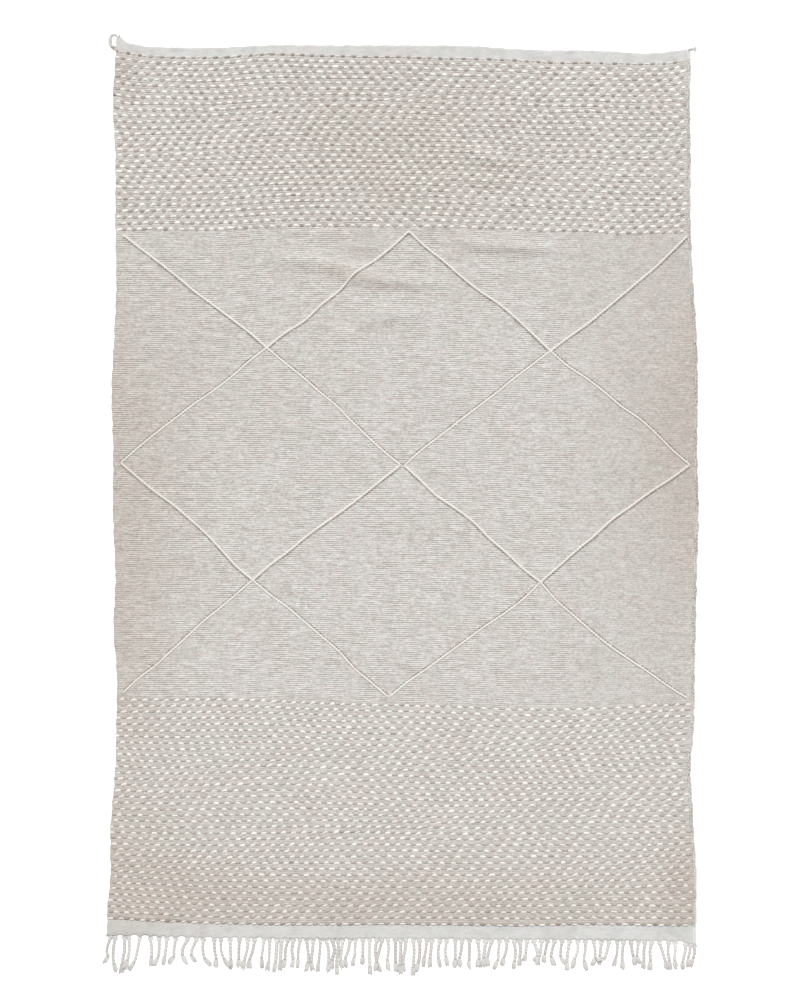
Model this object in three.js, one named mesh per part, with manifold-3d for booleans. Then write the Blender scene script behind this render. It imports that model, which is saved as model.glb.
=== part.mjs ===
// A handwoven kilim rug, lying flat. One wool cloth has a band of twined dash rows at
// each end and a lattice of raised lines between them, and ends in plain cotton webs.
// The near web has a knotted fringe. The far corners keep a loop of selvedge cord and
// a short tied warp end.
// Millimetres, +Z up, floor at z = 0. X runs across the rug, along the wefts. Y runs
// along the warps, towards the end that has no fringe.

import * as THREE from 'three';
import Module from 'manifold-3d';

// Thicknesses and heights of the cloth
const GROUND = 3.4;
const WEB = 2.0;
const ROW_RISE = 1.1;
const LINE = { foot: 8, crown: 3.4, rise: 2.3, sunk: 1, steps: 6 };

// Twined dash rows in each band, and how far they wander from their places
const UPPER_ROWS = 31;
const LOWER_ROWS = 38;
const ROW_WANDER = 4;

// Clear space between neighbouring solids
const GAP = 0.3;

// Fringe: the strip that holds the roots, the strands, their knots and frayed tufts
const ROOT_STRIP = { width: 3, height: 2 };
const STRAND = { width: 5.4, height: 4.6 };
const KNOT = { width: 9.5, height: 7, at: 0.8 };
const TUFT = { width: 8, height: 3 };

// Cords at the two far corners
const LOOP_CORD = { radius: 3.6, sides: 8 };
const TIE_CORD = { width: 6, height: 5 };

// Rows of numbers with named columns
function table(columns, rows) {
  const names = columns.split(' ');
  return rows.map((row) => Object.fromEntries(names.map((name, i) => [name, row[i]])));
}

// The two selvedges, from the near end to the far end
const SIDES = table('along left right', [
  [-1157, -773, 766],
  [-1035, -768, 773],
  [-975, -762, 773],
  [-910, -762, 770],
  [-850, -762, 765],
  [-785, -757, 762],
  [-690, -749, 757],
  [-595, -747, 765],
  [-410, -747, 768],
  [-345, -753, 770],
  [-190, -749, 773],
  [-30, -755, 778],
  [160, -755, 774],
  [300, -759, 776],
  [440, -752, 773],
  [565, -747, 765],
  [725, -749, 757],
  [910, -749, 757],
  [1070, -755, 755],
  [1165, -749, 757],
  [1200, -749, 753],
]);

// The lines that run across the cloth: its far edge, the ends of both bands and its near edge
const ACROSS = table('at far upperStart upperEnd lowerStart lowerEnd near', [
  [-749, 1205, 1188, 722, -512, -1085, -1131],
  [-722, 1213, 1183, 722, -512, -1085, -1131],
  [-673, 1200, 1174, 722, -513, -1088, -1132],
  [-580, 1197, 1169, 721, -514, -1092, -1135],
  [-485, 1197, 1171, 722, -514, -1096, -1138],
  [-360, 1203, 1180, 730, -518, -1100, -1138],
  [-186, 1203, 1173, 731, -524, -1101, -1139],
  [18, 1203, 1171, 731, -529, -1101, -1139],
  [207, 1200, 1168, 726, -535, -1101, -1142],
  [270, 1195, 1167, 725, -538, -1101, -1142],
  [396, 1190, 1158, 720, -539, -1099, -1142],
  [490, 1190, 1157, 717, -537, -1098, -1143],
  [553, 1187, 1154, 712, -535, -1099, -1144],
  [647, 1182, 1153, 712, -531, -1101, -1146],
  [710, 1187, 1156, 713, -529, -1102, -1148],
  [753, 1191, 1165, 716, -529, -1102, -1155],
]);

// The peak that the far left corner is drawn out to, beside the cord loop
const CORNER_PEAK = table('x y', [
  [-747, 1206],
  [-745.5, 1221],
  [-736, 1233],
  [-731, 1223],
  [-722, 1213],
]);

// Corners of the lattice of raised lines
const CORNERS = {
  farLeft: [-731, 708],
  farMiddleLeft: [14, 714],
  farMiddleRight: [24, 714],
  farRight: [750, 705],
  upperCrossLeft: [-353, 411],
  upperCrossRight: [390, 402],
  waistLeft: [-735, 109],
  waistMiddleLeft: [1, 103],
  waistMiddleRight: [11, 102],
  waistRight: [755, 104],
  lowerCrossLeft: [-390, -198],
  lowerCrossRight: [364, -203],
  nearLeft: [-731, -495],
  nearMiddle: [-33, -506],
  nearRight: [750, -508],
};

// Each raised line zigzags down the rug in four legs. A leg bows to the right of its way by
// these amounts, at a quarter, a half and three quarters of its length.
const ZIGZAGS = [
  table('from to early middle late', [
    ['farLeft', 'upperCrossLeft', -2, 1, -3],
    ['upperCrossLeft', 'waistLeft', -4, 3, 5],
    ['waistLeft', 'lowerCrossLeft', -5, -10, -4],
    ['lowerCrossLeft', 'nearLeft', 2, 2, 0],
  ]),
  table('from to early middle late', [
    ['farMiddleLeft', 'upperCrossLeft', 0, -2, -5],
    ['upperCrossLeft', 'waistMiddleLeft', -4, -6, 0],
    ['waistMiddleLeft', 'lowerCrossLeft', 1, 3, 5],
    ['lowerCrossLeft', 'nearMiddle', -7, -6, 1],
  ]),
  table('from to early middle late', [
    ['farMiddleRight', 'upperCrossRight', -2, -3, -8],
    ['upperCrossRight', 'waistMiddleRight', 2, 2, 2],
    ['waistMiddleRight', 'lowerCrossRight', 2, -6, 0],
    ['lowerCrossRight', 'nearMiddle', -7, -3, 0],
  ]),
  table('from to early middle late', [
    ['farRight', 'upperCrossRight', -8, -7, -7],
    ['upperCrossRight', 'waistRight', -6, -6, -8],
    ['waistRight', 'lowerCrossRight', 8, 12, 8],
    ['lowerCrossRight', 'nearRight', 15, 19, 9],
  ]),
];

// Soft wrinkles that lift the cloth off the floor: middle, length, width, height, turn in degrees
const WRINKLES = table('x y length width rise turn', [
  [-205, 640, 250, 44, 6, -6],
  [-85, 668, 170, 30, 3, -2],
  [285, 664, 240, 40, 5, -8],
  [-55, 470, 150, 34, 4, -12],
  [20, 205, 190, 32, 4, -5],
  [-150, 62, 200, 34, 4, 8],
]);
const WRINKLE_STEPS = 6;

// Fringe strands in locks that lie together: where the first and last strand of a lock leave the
// cloth, where those two end, how far the strands reach and how much they bow sideways
const LOCKS = table('strands rootFirst rootLast tipFirst tipLast reach bow', [
  [1, -761, -761, -780, -780, 67, 3],
  [1, -749, -749, -746, -746, 86, -5],
  [2, -726, -714, -734, -723, 89, 2],
  [1, -685, -685, -712, -712, 84, 5],
  [4, -658, -591, -656, -612, 70, 3],
  [2, -559, -536, -563, -540, 64, -12],
  [4, -519, -449, -500, -448, 74, -4],
  [5, -424, -345, -427, -351, 78, 0],
  [5, -326, -265, -335, -272, 77, 0],
  [3, -249, -212, -250, -220, 82, 1],
  [3, -198, -166, -193, -168, 84, 2],
  [4, -153, -101, -156, -103, 69, -1],
  [1, -83, -83, -81, -81, 92, -2],
  [2, -64, -50, -69, -57, 82, -3],
  [4, -35, 12, -34, 8, 85, 0],
  [2, 31, 47, 30, 41, 89, 3],
  [4, 67, 119, 59, 120, 72, -3],
  [6, 141, 237, 138, 225, 72, -1],
  [2, 257, 276, 242, 263, 73, 3],
  [3, 295, 329, 293, 321, 64, 2],
  [2, 346, 367, 345, 357, 60, 5],
  [2, 383, 402, 367, 400, 67, -4],
  [3, 421, 462, 426, 449, 73, -5],
  [1, 482, 482, 486, 486, 77, -5],
  [3, 503, 544, 500, 525, 63, 3],
  [2, 565, 582, 555, 580, 71, 0],
  [2, 601, 621, 611, 624, 62, -3],
  [2, 638, 656, 637, 652, 73, -2],
  [3, 675, 717, 691, 719, 71, -1],
  [2, 744, 754, 734, 746, 63, 1],
  [1, 762, 762, 758, 758, 54, 8],
]);

// The cord loop's route round its opening, from the peak's side to the cloth's side
const LOOP_ROUTE = table('x y', [
  [-745.2, 1223.6],
  [-750, 1228.4],
  [-755.5, 1229.6],
  [-760, 1226],
  [-763.4, 1219.5],
  [-764.2, 1211.5],
  [-763, 1204],
  [-760, 1198.5],
  [-755.5, 1196.6],
  [-749, 1196.6],
]);

// The tied warp end at the far right corner: its route, and how it widens into a short brush
const TIE_ROUTE = table('x y widen', [
  [755.8, 1190.5, 0.8],
  [759, 1195.5, 0.9],
  [764, 1197.5, 1],
  [768, 1197.5, 1.1],
  [773, 1196.5, 1.9],
  [776, 1196, 2.1],
]);

const wasm = await Module();
wasm.setup();

// Straight-line value of a column between two stations of a table whose key column rises
function valueAt(rows, key, place, column) {
  const after = rows.findIndex((row) => row[key] >= place);
  if (after === 0) return rows[0][column];
  if (after < 0) return rows[rows.length - 1][column];
  const [low, high] = [rows[after - 1], rows[after]];
  const share = (place - low[key]) / (high[key] - low[key]);
  return THREE.MathUtils.lerp(low[column], high[column], share);
}

// Points and faces of one closed surface
class Shell {
  points = [];
  faces = [];

  point(x, y, z) {
    return this.points.push(new THREE.Vector3(x, y, z)) - 1;
  }

  // A face that looks up or down, whichever way its corners come
  level(corners, up) {
    const [a, b, c] = corners.map((i) => this.points[i]);
    const turn = (b.x - a.x) * (c.y - a.y) - (b.y - a.y) * (c.x - a.x);
    const [first, second, third] = corners;
    this.faces.push(turn > 0 === up ? [first, second, third] : [first, third, second]);
  }

  // The cells between two lines of points
  band(lineA, lineB, up) {
    for (let i = 1; i < lineA.length; i++) {
      this.level([lineA[i - 1], lineA[i], lineB[i]], up);
      this.level([lineA[i - 1], lineB[i], lineB[i - 1]], up);
    }
  }

  // A flat patch inside an outline, round its holes
  patch(outline, holes, up) {
    const flat = (ring) => ring.map((i) => new THREE.Vector2(this.points[i].x, this.points[i].y));
    const indices = [outline, ...holes].flat();
    const cut = THREE.ShapeUtils.triangulateShape(flat(outline), holes.map(flat));
    for (const triangle of cut) this.level(triangle.map((i) => indices[i]), up);
  }

  // The wall from a rim down to the rim below it, both running anticlockwise seen from above
  wall(rim, lower) {
    for (let i = 0; i < rim.length; i++) {
      const next = (i + 1) % rim.length;
      this.faces.push([lower[i], lower[next], rim[next]], [lower[i], rim[next], rim[i]]);
    }
  }

  solid() {
    return new wasm.Manifold(
      new wasm.Mesh({
        numProp: 3,
        vertProperties: new Float32Array(this.points.flatMap((p) => [p.x, p.y, p.z])),
        triVerts: new Uint32Array(this.faces.flat()),
      }),
    );
  }
}

// A closed solid carried along a level path. Each station has a place (x, y) and a section, a list
// of [sideways, height] corners that runs anticlockwise seen along the way back.
function carried(stations) {
  const shell = new Shell();
  const place = (i) => new THREE.Vector2(stations[i].x, stations[i].y);
  const last = stations.length - 1;
  const rings = stations.map(({ x, y, section }, i) => {
    const before = i > 0 ? place(i).sub(place(i - 1)).normalize() : null;
    const after = i < last ? place(i + 1).sub(place(i)).normalize() : null;
    const way = (before ?? after).clone().add(after ?? before).normalize();
    const mitre = 1 / way.dot(after ?? before);
    return section.map(([side, height]) =>
      shell.point(x - way.y * side * mitre, y + way.x * side * mitre, height),
    );
  });
  const sides = rings[0].length;
  for (let i = 0; i < last; i++) {
    for (let j = 0; j < sides; j++) {
      const k = (j + 1) % sides;
      const [a, b, c, d] = [rings[i][j], rings[i][k], rings[i + 1][k], rings[i + 1][j]];
      shell.faces.push([a, b, c], [a, c, d]);
    }
  }
  for (let j = 1; j < sides - 1; j++) {
    shell.faces.push([rings[0][0], rings[0][j + 1], rings[0][j]]);
    shell.faces.push([rings[last][0], rings[last][j], rings[last][j + 1]]);
  }
  return shell.solid();
}

// A section that is flat below and a little narrower above
const trapezoid = (width, height, base = 0, crown = 0.7 * width) => [
  [-width / 2, base],
  [width / 2, base],
  [crown / 2, height],
  [-crown / 2, height],
];

const clothAt = (share, y) =>
  THREE.MathUtils.lerp(valueAt(SIDES, 'along', y, 'left'), valueAt(SIDES, 'along', y, 'right'), share);

const FIRST = ACROSS[0].at;
const LAST = ACROSS[ACROSS.length - 1].at;
const SHARES = ACROSS.map((row) => (row.at - FIRST) / (LAST - FIRST));
const NEAR_EDGE = ACROSS.map((row, i) => ({ x: clothAt(SHARES[i], row.near), y: row.near }));

// The cloth's upper and lower face, as one closed shell
function clothSolid() {
  const shell = new Shell();

  // One line of points across the cloth, at a height that each column gives
  const line = (yAt, z) => ACROSS.map((row, i) => shell.point(clothAt(SHARES[i], yAt(row, i)), yAt(row, i), z));

  // The lines of a band: the valley before each dash row, and the row's crest
  const bandLines = (start, end, rows, firstZ, lastZ) => {
    const lines = [];
    for (let half = 0; half <= 2 * rows; half++) {
      const share = half / (2 * rows);
      const drift = (i) =>
        ROW_WANDER * Math.sin(Math.PI * share) * Math.sin(2 * Math.PI * (2.6 * SHARES[i] + 1.3 * share));
      const yAt = (row, i) => THREE.MathUtils.lerp(row[start], row[end], share) + drift(i);
      const valley = half === 0 ? firstZ : half === 2 * rows ? lastZ : GROUND;
      lines.push(line(yAt, half % 2 ? GROUND + ROW_RISE : valley));
    }
    return lines;
  };

  // The selvedge points between two levels, from the near one to the far one
  const sidePoints = (share, nearY, farY) =>
    SIDES.filter(({ along }) => along > nearY + 15 && along < farY - 15).map(({ along }) =>
      shell.point(clothAt(share, along), along, GROUND),
    );

  const upper = bandLines('upperStart', 'upperEnd', UPPER_ROWS, WEB, GROUND);
  const lower = bandLines('lowerStart', 'lowerEnd', LOWER_ROWS, GROUND, WEB);
  for (const lines of [upper, lower]) {
    for (let i = 1; i < lines.length; i++) shell.band(lines[i - 1], lines[i], true);
  }

  // Far web with its drawn-out corner, and near web
  const peak = CORNER_PEAK.map(({ x, y }) => shell.point(x, y, WEB));
  const farEdge = ACROSS.slice(2).map((row, i) => shell.point(clothAt(SHARES[i + 2], row.far), row.far, WEB));
  const nearEdge = line((row) => row.near, WEB);
  const head = [...peak, ...farEdge];
  shell.patch([...head, ...upper[0].slice().reverse()], [], true);
  shell.patch([...lower.at(-1), ...nearEdge.slice().reverse()], [], true);

  // Field between the bands, with a hole for each wrinkle
  const fieldTop = upper.at(-1);
  const fieldFoot = lower[0];
  const left = sidePoints(0, ACROSS[0].lowerStart, ACROSS[0].upperEnd);
  const right = sidePoints(1, ACROSS.at(-1).lowerStart, ACROSS.at(-1).upperEnd);
  const lifts = WRINKLES.map((row) => ripple(shell, row, GROUND, true));
  shell.patch([...fieldFoot, ...right, ...fieldTop.slice().reverse(), ...left.slice().reverse()], lifts, true);

  // The rim, anticlockwise from the near left corner, and the underside
  const edge = (lines, end) => lines.slice(1).reverse().map((points) => points.at(end));
  const rim = [
    ...nearEdge,
    ...edge(lower, -1),
    fieldFoot.at(-1),
    ...right,
    ...edge(upper, -1),
    upper[0].at(-1),
    ...head.slice().reverse(),
    upper[0][0],
    ...edge(upper, 0).reverse(),
    ...left.slice().reverse(),
    fieldFoot[0],
    ...edge(lower, 0).reverse(),
  ];
  const underside = rim.map((i) => shell.point(shell.points[i].x, shell.points[i].y, 0));
  const hollows = WRINKLES.map((row) => ripple(shell, row, 0, false));
  shell.patch(underside, hollows, false);
  shell.wall(rim, underside);
  return shell.solid();
}

// One wrinkle on a level face: a lens-shaped outline with pointed ends and a raised crest inside.
// Gives the outline, which the face round it leaves open.
function ripple(shell, { x, y, length, width, rise, turn }, level, up) {
  const angle = THREE.MathUtils.degToRad(turn);
  const at = (along, side, z) =>
    shell.point(
      x + along * Math.cos(angle) - side * Math.sin(angle),
      y + along * Math.sin(angle) + side * Math.cos(angle),
      z,
    );
  const tips = [at(-length / 2, 0, level), at(length / 2, 0, level)];
  const inner = Array.from({ length: WRINKLE_STEPS - 1 }, (_, i) => (i + 1) / WRINKLE_STEPS);
  const swell = (share) => Math.sin(Math.PI * share);
  const row = (side) =>
    inner.map((share) => at(length * (share - 0.5), (side * width * swell(share)) / 2, level));
  const [near, far] = [row(-1), row(1)];
  const crest = inner.map((share) => at(length * (share - 0.5), 0, level + rise * swell(share)));
  for (const flank of [near, far]) {
    shell.band([tips[0], ...flank, tips[1]], [tips[0], ...crest, tips[1]], up);
  }
  return [tips[0], ...near, tips[1], ...far.reverse()];
}

// The route of one zigzag, each leg a smooth curve through its two corners and its three bows
function zigzagRoute(legs) {
  const points = legs.flatMap((leg, n) => {
    const start = new THREE.Vector3(...CORNERS[leg.from], 0);
    const end = new THREE.Vector3(...CORNERS[leg.to], 0);
    const way = end.clone().sub(start).normalize();
    const right = new THREE.Vector3(way.y, -way.x, 0);
    const bows = [0, leg.early, leg.middle, leg.late, 0];
    const through = bows.map((bow, i) =>
      start.clone().lerp(end, i / (bows.length - 1)).addScaledVector(right, bow),
    );
    const curve = new THREE.CatmullRomCurve3(through).getPoints(LINE.steps);
    return n === 0 ? curve : curve.slice(1);
  });
  return points;
}

function raisedLine(legs) {
  const section = trapezoid(LINE.foot, GROUND + LINE.rise, GROUND - LINE.sunk, LINE.crown);
  return carried(zigzagRoute(legs).map(({ x, y }) => ({ x, y, section })));
}

// One fringe strand: it leaves the root strip, bows, thickens into its knot and ends in a tuft
function strand({ root, tip, reach, bow }) {
  const rootY = valueAt(NEAR_EDGE, 'x', root, 'y') - GAP - ROOT_STRIP.width / 2;
  const tipY = rootY + ROOT_STRIP.width / 2 - reach;
  const at = (share, section) => ({
    x: THREE.MathUtils.lerp(root, tip, share) + bow * Math.sin(Math.PI * share),
    y: THREE.MathUtils.lerp(rootY, tipY, share),
    section,
  });
  const thread = trapezoid(STRAND.width, STRAND.height);
  return carried([
    at(0, thread),
    at(KNOT.at / 2, thread),
    at(KNOT.at - 0.08, thread),
    at(KNOT.at, trapezoid(KNOT.width, KNOT.height)),
    at(1, trapezoid(TUFT.width, TUFT.height)),
  ]);
}

// The root strip follows the cloth's near edge, a hair's breadth away from it
function rootStrip() {
  const shell = new Shell();
  const section = trapezoid(ROOT_STRIP.width, ROOT_STRIP.height, 0, ROOT_STRIP.width);
  const rings = NEAR_EDGE.map(({ x, y }) =>
    section.map(([side, height]) => shell.point(x, y - GAP - ROOT_STRIP.width / 2 + side, height)),
  );
  for (let i = 1; i < rings.length; i++) {
    for (let j = 0; j < 4; j++) {
      const k = (j + 1) % 4;
      const [a, b, c, d] = [rings[i - 1][j], rings[i - 1][k], rings[i][k], rings[i][j]];
      shell.faces.push([a, b, c], [a, c, d]);
    }
  }
  const [first, last] = [rings[0], rings.at(-1)];
  shell.faces.push([first[0], first[2], first[1]], [first[0], first[3], first[2]]);
  shell.faces.push([last[0], last[1], last[2]], [last[0], last[2], last[3]]);
  return shell.solid();
}

function fringeSolid() {
  const strands = LOCKS.flatMap((lock) =>
    Array.from({ length: lock.strands }, (_, i) => {
      const share = lock.strands > 1 ? i / (lock.strands - 1) : 0;
      const root = THREE.MathUtils.lerp(lock.rootFirst, lock.rootLast, share);
      const tip = THREE.MathUtils.lerp(lock.tipFirst, lock.tipLast, share);
      return strand({ root, tip, reach: lock.reach - 6 * (i % 2), bow: lock.bow });
    }),
  );
  return wasm.Manifold.union([rootStrip(), ...strands]);
}

// The loop is a round cord that rests on the floor
function loopSolid() {
  const { radius, sides } = LOOP_CORD;
  const middle = radius * Math.cos(Math.PI / sides);
  const section = Array.from({ length: sides }, (_, i) => {
    const angle = (2 * Math.PI * (i + 0.5)) / sides;
    return [radius * Math.cos(angle), middle + radius * Math.sin(angle)];
  });
  return carried(LOOP_ROUTE.map(({ x, y }) => ({ x, y, section })));
}

function tieSolid() {
  return carried(
    TIE_ROUTE.map(({ x, y, widen }) => ({
      x,
      y,
      section: trapezoid(TIE_CORD.width * widen, TIE_CORD.height),
    })),
  );
}

// A named mesh from a solid
function piece(name, solid, material) {
  const { vertProperties, triVerts } = solid.getMesh();
  const geometry = new THREE.BufferGeometry();
  geometry.setAttribute('position', new THREE.BufferAttribute(vertProperties, 3));
  geometry.setIndex(new THREE.BufferAttribute(triVerts, 1));
  geometry.computeVertexNormals();
  const mesh = new THREE.Mesh(geometry, material);
  mesh.name = name;
  return mesh;
}

const wool = new THREE.MeshStandardMaterial({ color: 0xcdc7c0, roughness: 0.95, metalness: 0 });
const cotton = new THREE.MeshStandardMaterial({ color: 0xdcdcd6, roughness: 0.9, metalness: 0 });

const rug = new THREE.Group();
rug.add(piece('rug_cloth', wasm.Manifold.union([clothSolid(), ...ZIGZAGS.map(raisedLine)]), wool));
rug.add(piece('fringe', fringeSolid(), cotton));
rug.add(piece('corner_loop', loopSolid(), cotton));
rug.add(piece('corner_tassel', tieSolid(), cotton));

export default rug;
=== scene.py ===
import bpy
import numpy as np
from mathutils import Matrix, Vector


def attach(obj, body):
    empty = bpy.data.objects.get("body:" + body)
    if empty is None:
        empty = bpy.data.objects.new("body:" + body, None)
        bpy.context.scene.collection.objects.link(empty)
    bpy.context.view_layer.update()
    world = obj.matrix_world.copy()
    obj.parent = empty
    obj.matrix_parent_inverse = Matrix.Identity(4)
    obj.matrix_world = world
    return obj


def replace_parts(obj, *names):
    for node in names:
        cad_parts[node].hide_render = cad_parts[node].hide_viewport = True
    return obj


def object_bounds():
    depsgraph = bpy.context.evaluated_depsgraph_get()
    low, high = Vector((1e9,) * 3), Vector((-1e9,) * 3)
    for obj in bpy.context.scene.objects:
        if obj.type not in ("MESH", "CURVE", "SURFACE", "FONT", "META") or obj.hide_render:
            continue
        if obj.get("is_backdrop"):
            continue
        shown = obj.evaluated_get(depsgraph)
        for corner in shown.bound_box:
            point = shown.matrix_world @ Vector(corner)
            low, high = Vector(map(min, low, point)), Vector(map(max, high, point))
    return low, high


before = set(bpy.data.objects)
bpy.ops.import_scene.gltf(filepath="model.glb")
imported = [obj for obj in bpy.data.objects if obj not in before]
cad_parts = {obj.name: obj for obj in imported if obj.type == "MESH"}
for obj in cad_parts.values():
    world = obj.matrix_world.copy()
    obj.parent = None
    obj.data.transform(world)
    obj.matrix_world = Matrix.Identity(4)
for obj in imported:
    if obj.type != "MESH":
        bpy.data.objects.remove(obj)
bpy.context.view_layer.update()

# Camera
# It hangs high over the rug and looks straight down.
MM = 0.001
PIXEL = 2.62 * MM
PICTURE_WIDTH = 800
PICTURE_HEIGHT = 1000
ORIGIN_PIXEL = (401.5, 504.5)
CAMERA_HEIGHT = 8.0
SENSOR = 36.0

camera_data = bpy.data.cameras.new("camera")
camera_data.sensor_width = SENSOR
camera_data.lens = SENSOR * CAMERA_HEIGHT / (PICTURE_HEIGHT * PIXEL)
camera = bpy.data.objects.new("camera", camera_data)
camera.location = (
    (PICTURE_WIDTH / 2 - ORIGIN_PIXEL[0]) * PIXEL,
    (ORIGIN_PIXEL[1] - PICTURE_HEIGHT / 2) * PIXEL,
    CAMERA_HEIGHT,
)
bpy.context.scene.collection.objects.link(camera)
bpy.context.scene.camera = camera

# Floor and light
# A white studio floor, a wide soft lamp beyond the rug's far end, and even light from all round.
FLOOR_REACH = 30.0
FLOOR_WHITE = (0.95, 0.95, 0.95, 1)
FLOOR_ROUGHNESS = 0.9
FLOOR_GLOW = 0.42
LAMP_HEIGHT_ANGLE = np.radians(47)
LAMP_SPREAD = np.radians(16)
LAMP_STRENGTH = 2.5
ROOM_WHITE = (1, 1, 1, 1)
ROOM_STRENGTH = 0.62


def add(tree, kind, inputs=None, **settings):
    """A new shader node. An input that is a socket is linked, and any other is set."""
    made = tree.nodes.new(kind)
    for name, value in settings.items():
        setattr(made, name, value)
    for name, value in (inputs or {}).items():
        if isinstance(value, bpy.types.NodeSocket):
            tree.links.new(value, made.inputs[name])
        else:
            made.inputs[name].default_value = value
    return made


def new_material(name, **constants):
    """A material with one Principled shader, whose constant values are set on its own sockets."""
    material = bpy.data.materials.new(name)
    material.use_nodes = True
    shader = material.node_tree.nodes["Principled BSDF"]
    for socket, value in constants.items():
        shader.inputs[socket.replace("_", " ")].default_value = value
    return material, material.node_tree, shader


floor_mesh = bpy.data.meshes.new("floor")
corners = [(-FLOOR_REACH, -FLOOR_REACH, 0), (FLOOR_REACH, -FLOOR_REACH, 0)]
corners += [(FLOOR_REACH, FLOOR_REACH, 0), (-FLOOR_REACH, FLOOR_REACH, 0)]
floor_mesh.from_pydata(corners, [], [(0, 1, 2, 3)])
floor = bpy.data.objects.new("floor", floor_mesh)
bpy.context.scene.collection.objects.link(floor)
floor_paint, _, _ = new_material(
    "floor_paint",
    Base_Color=FLOOR_WHITE,
    Roughness=FLOOR_ROUGHNESS,
    Emission_Color=FLOOR_WHITE,
    Emission_Strength=FLOOR_GLOW,
)
floor_mesh.materials.append(floor_paint)
floor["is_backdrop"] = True

lamp_data = bpy.data.lights.new("lamp", "SUN")
lamp_data.energy = LAMP_STRENGTH
lamp_data.angle = LAMP_SPREAD
lamp = bpy.data.objects.new("lamp", lamp_data)
lamp.rotation_euler = (LAMP_HEIGHT_ANGLE - np.pi / 2, 0, 0)
bpy.context.scene.collection.objects.link(lamp)

room = bpy.data.worlds.new("room")
room.use_nodes = True
background = room.node_tree.nodes["Background"].inputs
background["Color"].default_value = ROOM_WHITE
background["Strength"].default_value = ROOM_STRENGTH
bpy.context.scene.world = room
bpy.context.scene.view_settings.view_transform = "Standard"

# Wool ground
# The cloth is woven in one piece of thick hand-spun cream wool, packed so close that the wefts hide
# the warps. Each pick is a soft rib, and the picks wander as the weaver beats them down.
UPPER_ROWS = 31
LOWER_ROWS = 38
PICKS_TO_A_ROW = 3
FIELD_PICKS = 237
UPPER_END = (UPPER_ROWS - 1) * PICKS_TO_A_ROW
LOWER_START = UPPER_END + FIELD_PICKS
LAST_PICK = LOWER_START + (LOWER_ROWS - 1) * PICKS_TO_A_ROW

CREST = 4.05 * MM
VALLEY = 3.0 * MM
SUNK_UNDER_DASHES = 0.9 * MM
LINES_TO_A_PICK = 4
INNER_COLUMNS = 42
INNER_REACH = (0.012, 0.988)
EDGE_SHARES = np.array([0, 0.0013, 0.0035])
EDGE_FALL = np.array([0.55, 0.2, 0.03])
UNDER_COLUMNS = 8
UNDER_TUCK = 5 * MM
TUCKED_LINES = 12


def table(columns, rows):
    """The named columns of a table whose rows are in millimetres, as arrays in metres."""
    values = np.array(rows, float) * MM
    return dict(zip(columns.split(), values.T))


# The two selvedges, from the near end to the far end
SIDES = table("along left right", [
    [-1157, -774, 772],
    [-1035, -769, 774],
    [-975, -763, 774],
    [-910, -763, 771],
    [-850, -763, 766],
    [-785, -758, 763],
    [-690, -750, 758],
    [-595, -748, 766],
    [-410, -748, 769],
    [-345, -754, 771],
    [-190, -750, 774],
    [-30, -756, 779],
    [160, -756, 775],
    [300, -760, 777],
    [440, -753, 774],
    [565, -748, 766],
    [725, -750, 758],
    [910, -750, 758],
    [1070, -756, 756],
    [1165, -750, 758],
    [1200, -748, 755],
])

# Small waves of the selvedges: size, length of a radian, start in radians
SIDE_WAVES = {
    "left": [(0.7 * MM, 11 * MM, 0), (0.5 * MM, 4.7 * MM, 1)],
    "right": [(0.7 * MM, 9 * MM, 2), (0.5 * MM, 5.3 * MM, 0)],
}

# The lines that run across the cloth, from its far edge to its near edge
ACROSS = table("at far upper_start upper_end lower_start lower_end near", [
    [-749, 1206, 1188, 722, -512, -1085, -1131],
    [-722, 1211.5, 1183, 722, -512, -1085, -1131],
    [-673, 1200, 1174, 722, -513, -1088, -1132],
    [-580, 1197, 1169, 721, -514, -1092, -1135],
    [-485, 1197, 1171, 722, -514, -1096, -1138],
    [-360, 1203, 1180, 730, -518, -1100, -1138],
    [-186, 1203, 1173, 731, -524, -1101, -1139],
    [18, 1203, 1171, 731, -529, -1101, -1139],
    [207, 1200, 1168, 726, -535, -1101, -1142],
    [270, 1195, 1167, 725, -538, -1101, -1142],
    [396, 1190, 1158, 720, -539, -1099, -1142],
    [490, 1190, 1157, 717, -537, -1098, -1143],
    [553, 1187, 1154, 712, -535, -1099, -1144],
    [647, 1182, 1153, 712, -531, -1101, -1146],
    [710, 1188, 1156, 713, -529, -1102, -1148],
    [753, 1194, 1166, 716, -529, -1102, -1155],
])
SHARES = (ACROSS["at"] - ACROSS["at"][0]) / np.ptp(ACROSS["at"])

# How far the dash rows lie beyond their even places: one column for each place across the rug
DRIFT_PLACES = np.array([-715, -640, -500, -350, -200, -50, 150, 330, 560, 720]) * MM
UPPER_DRIFT = np.array([
    [-1, 1, -1, -2, 0, 0, -2, -3, 0, 0],
    [-5, 0, -2, -2, 4, 5, -1, 0, 5, 4],
    [-12, -5, -2, -4, 3, 3, 0, 1, 4, 4],
    [-8, -1, 5, 0, 6, 4, 5, 0, 3, 2],
    [1, 4, 4, 3, 7, 6, 4, 1, 1, -2],
    [-3, 0, -1, -3, 0, -2, -1, -2, -1, 0],
]) * MM
LOWER_DRIFT = np.array([
    [2, 3, 4, 4, 3, 2, 3, 2, 3, 6],
    [-2, -2, 1, 7, 6, 6, 3, 3, 5, 6],
    [-4, -4, 0, 7, 8, 5, 3, 8, 7, 3],
    [-5, -4, -1, 5, 9, 10, 9, 12, 10, 12],
    [2, 3, 1, 5, 6, 7, 8, 10, 8, 12],
    [3, 3, 2, 3, 3, 4, 3, 0, 1, 2],
]) * MM

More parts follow.
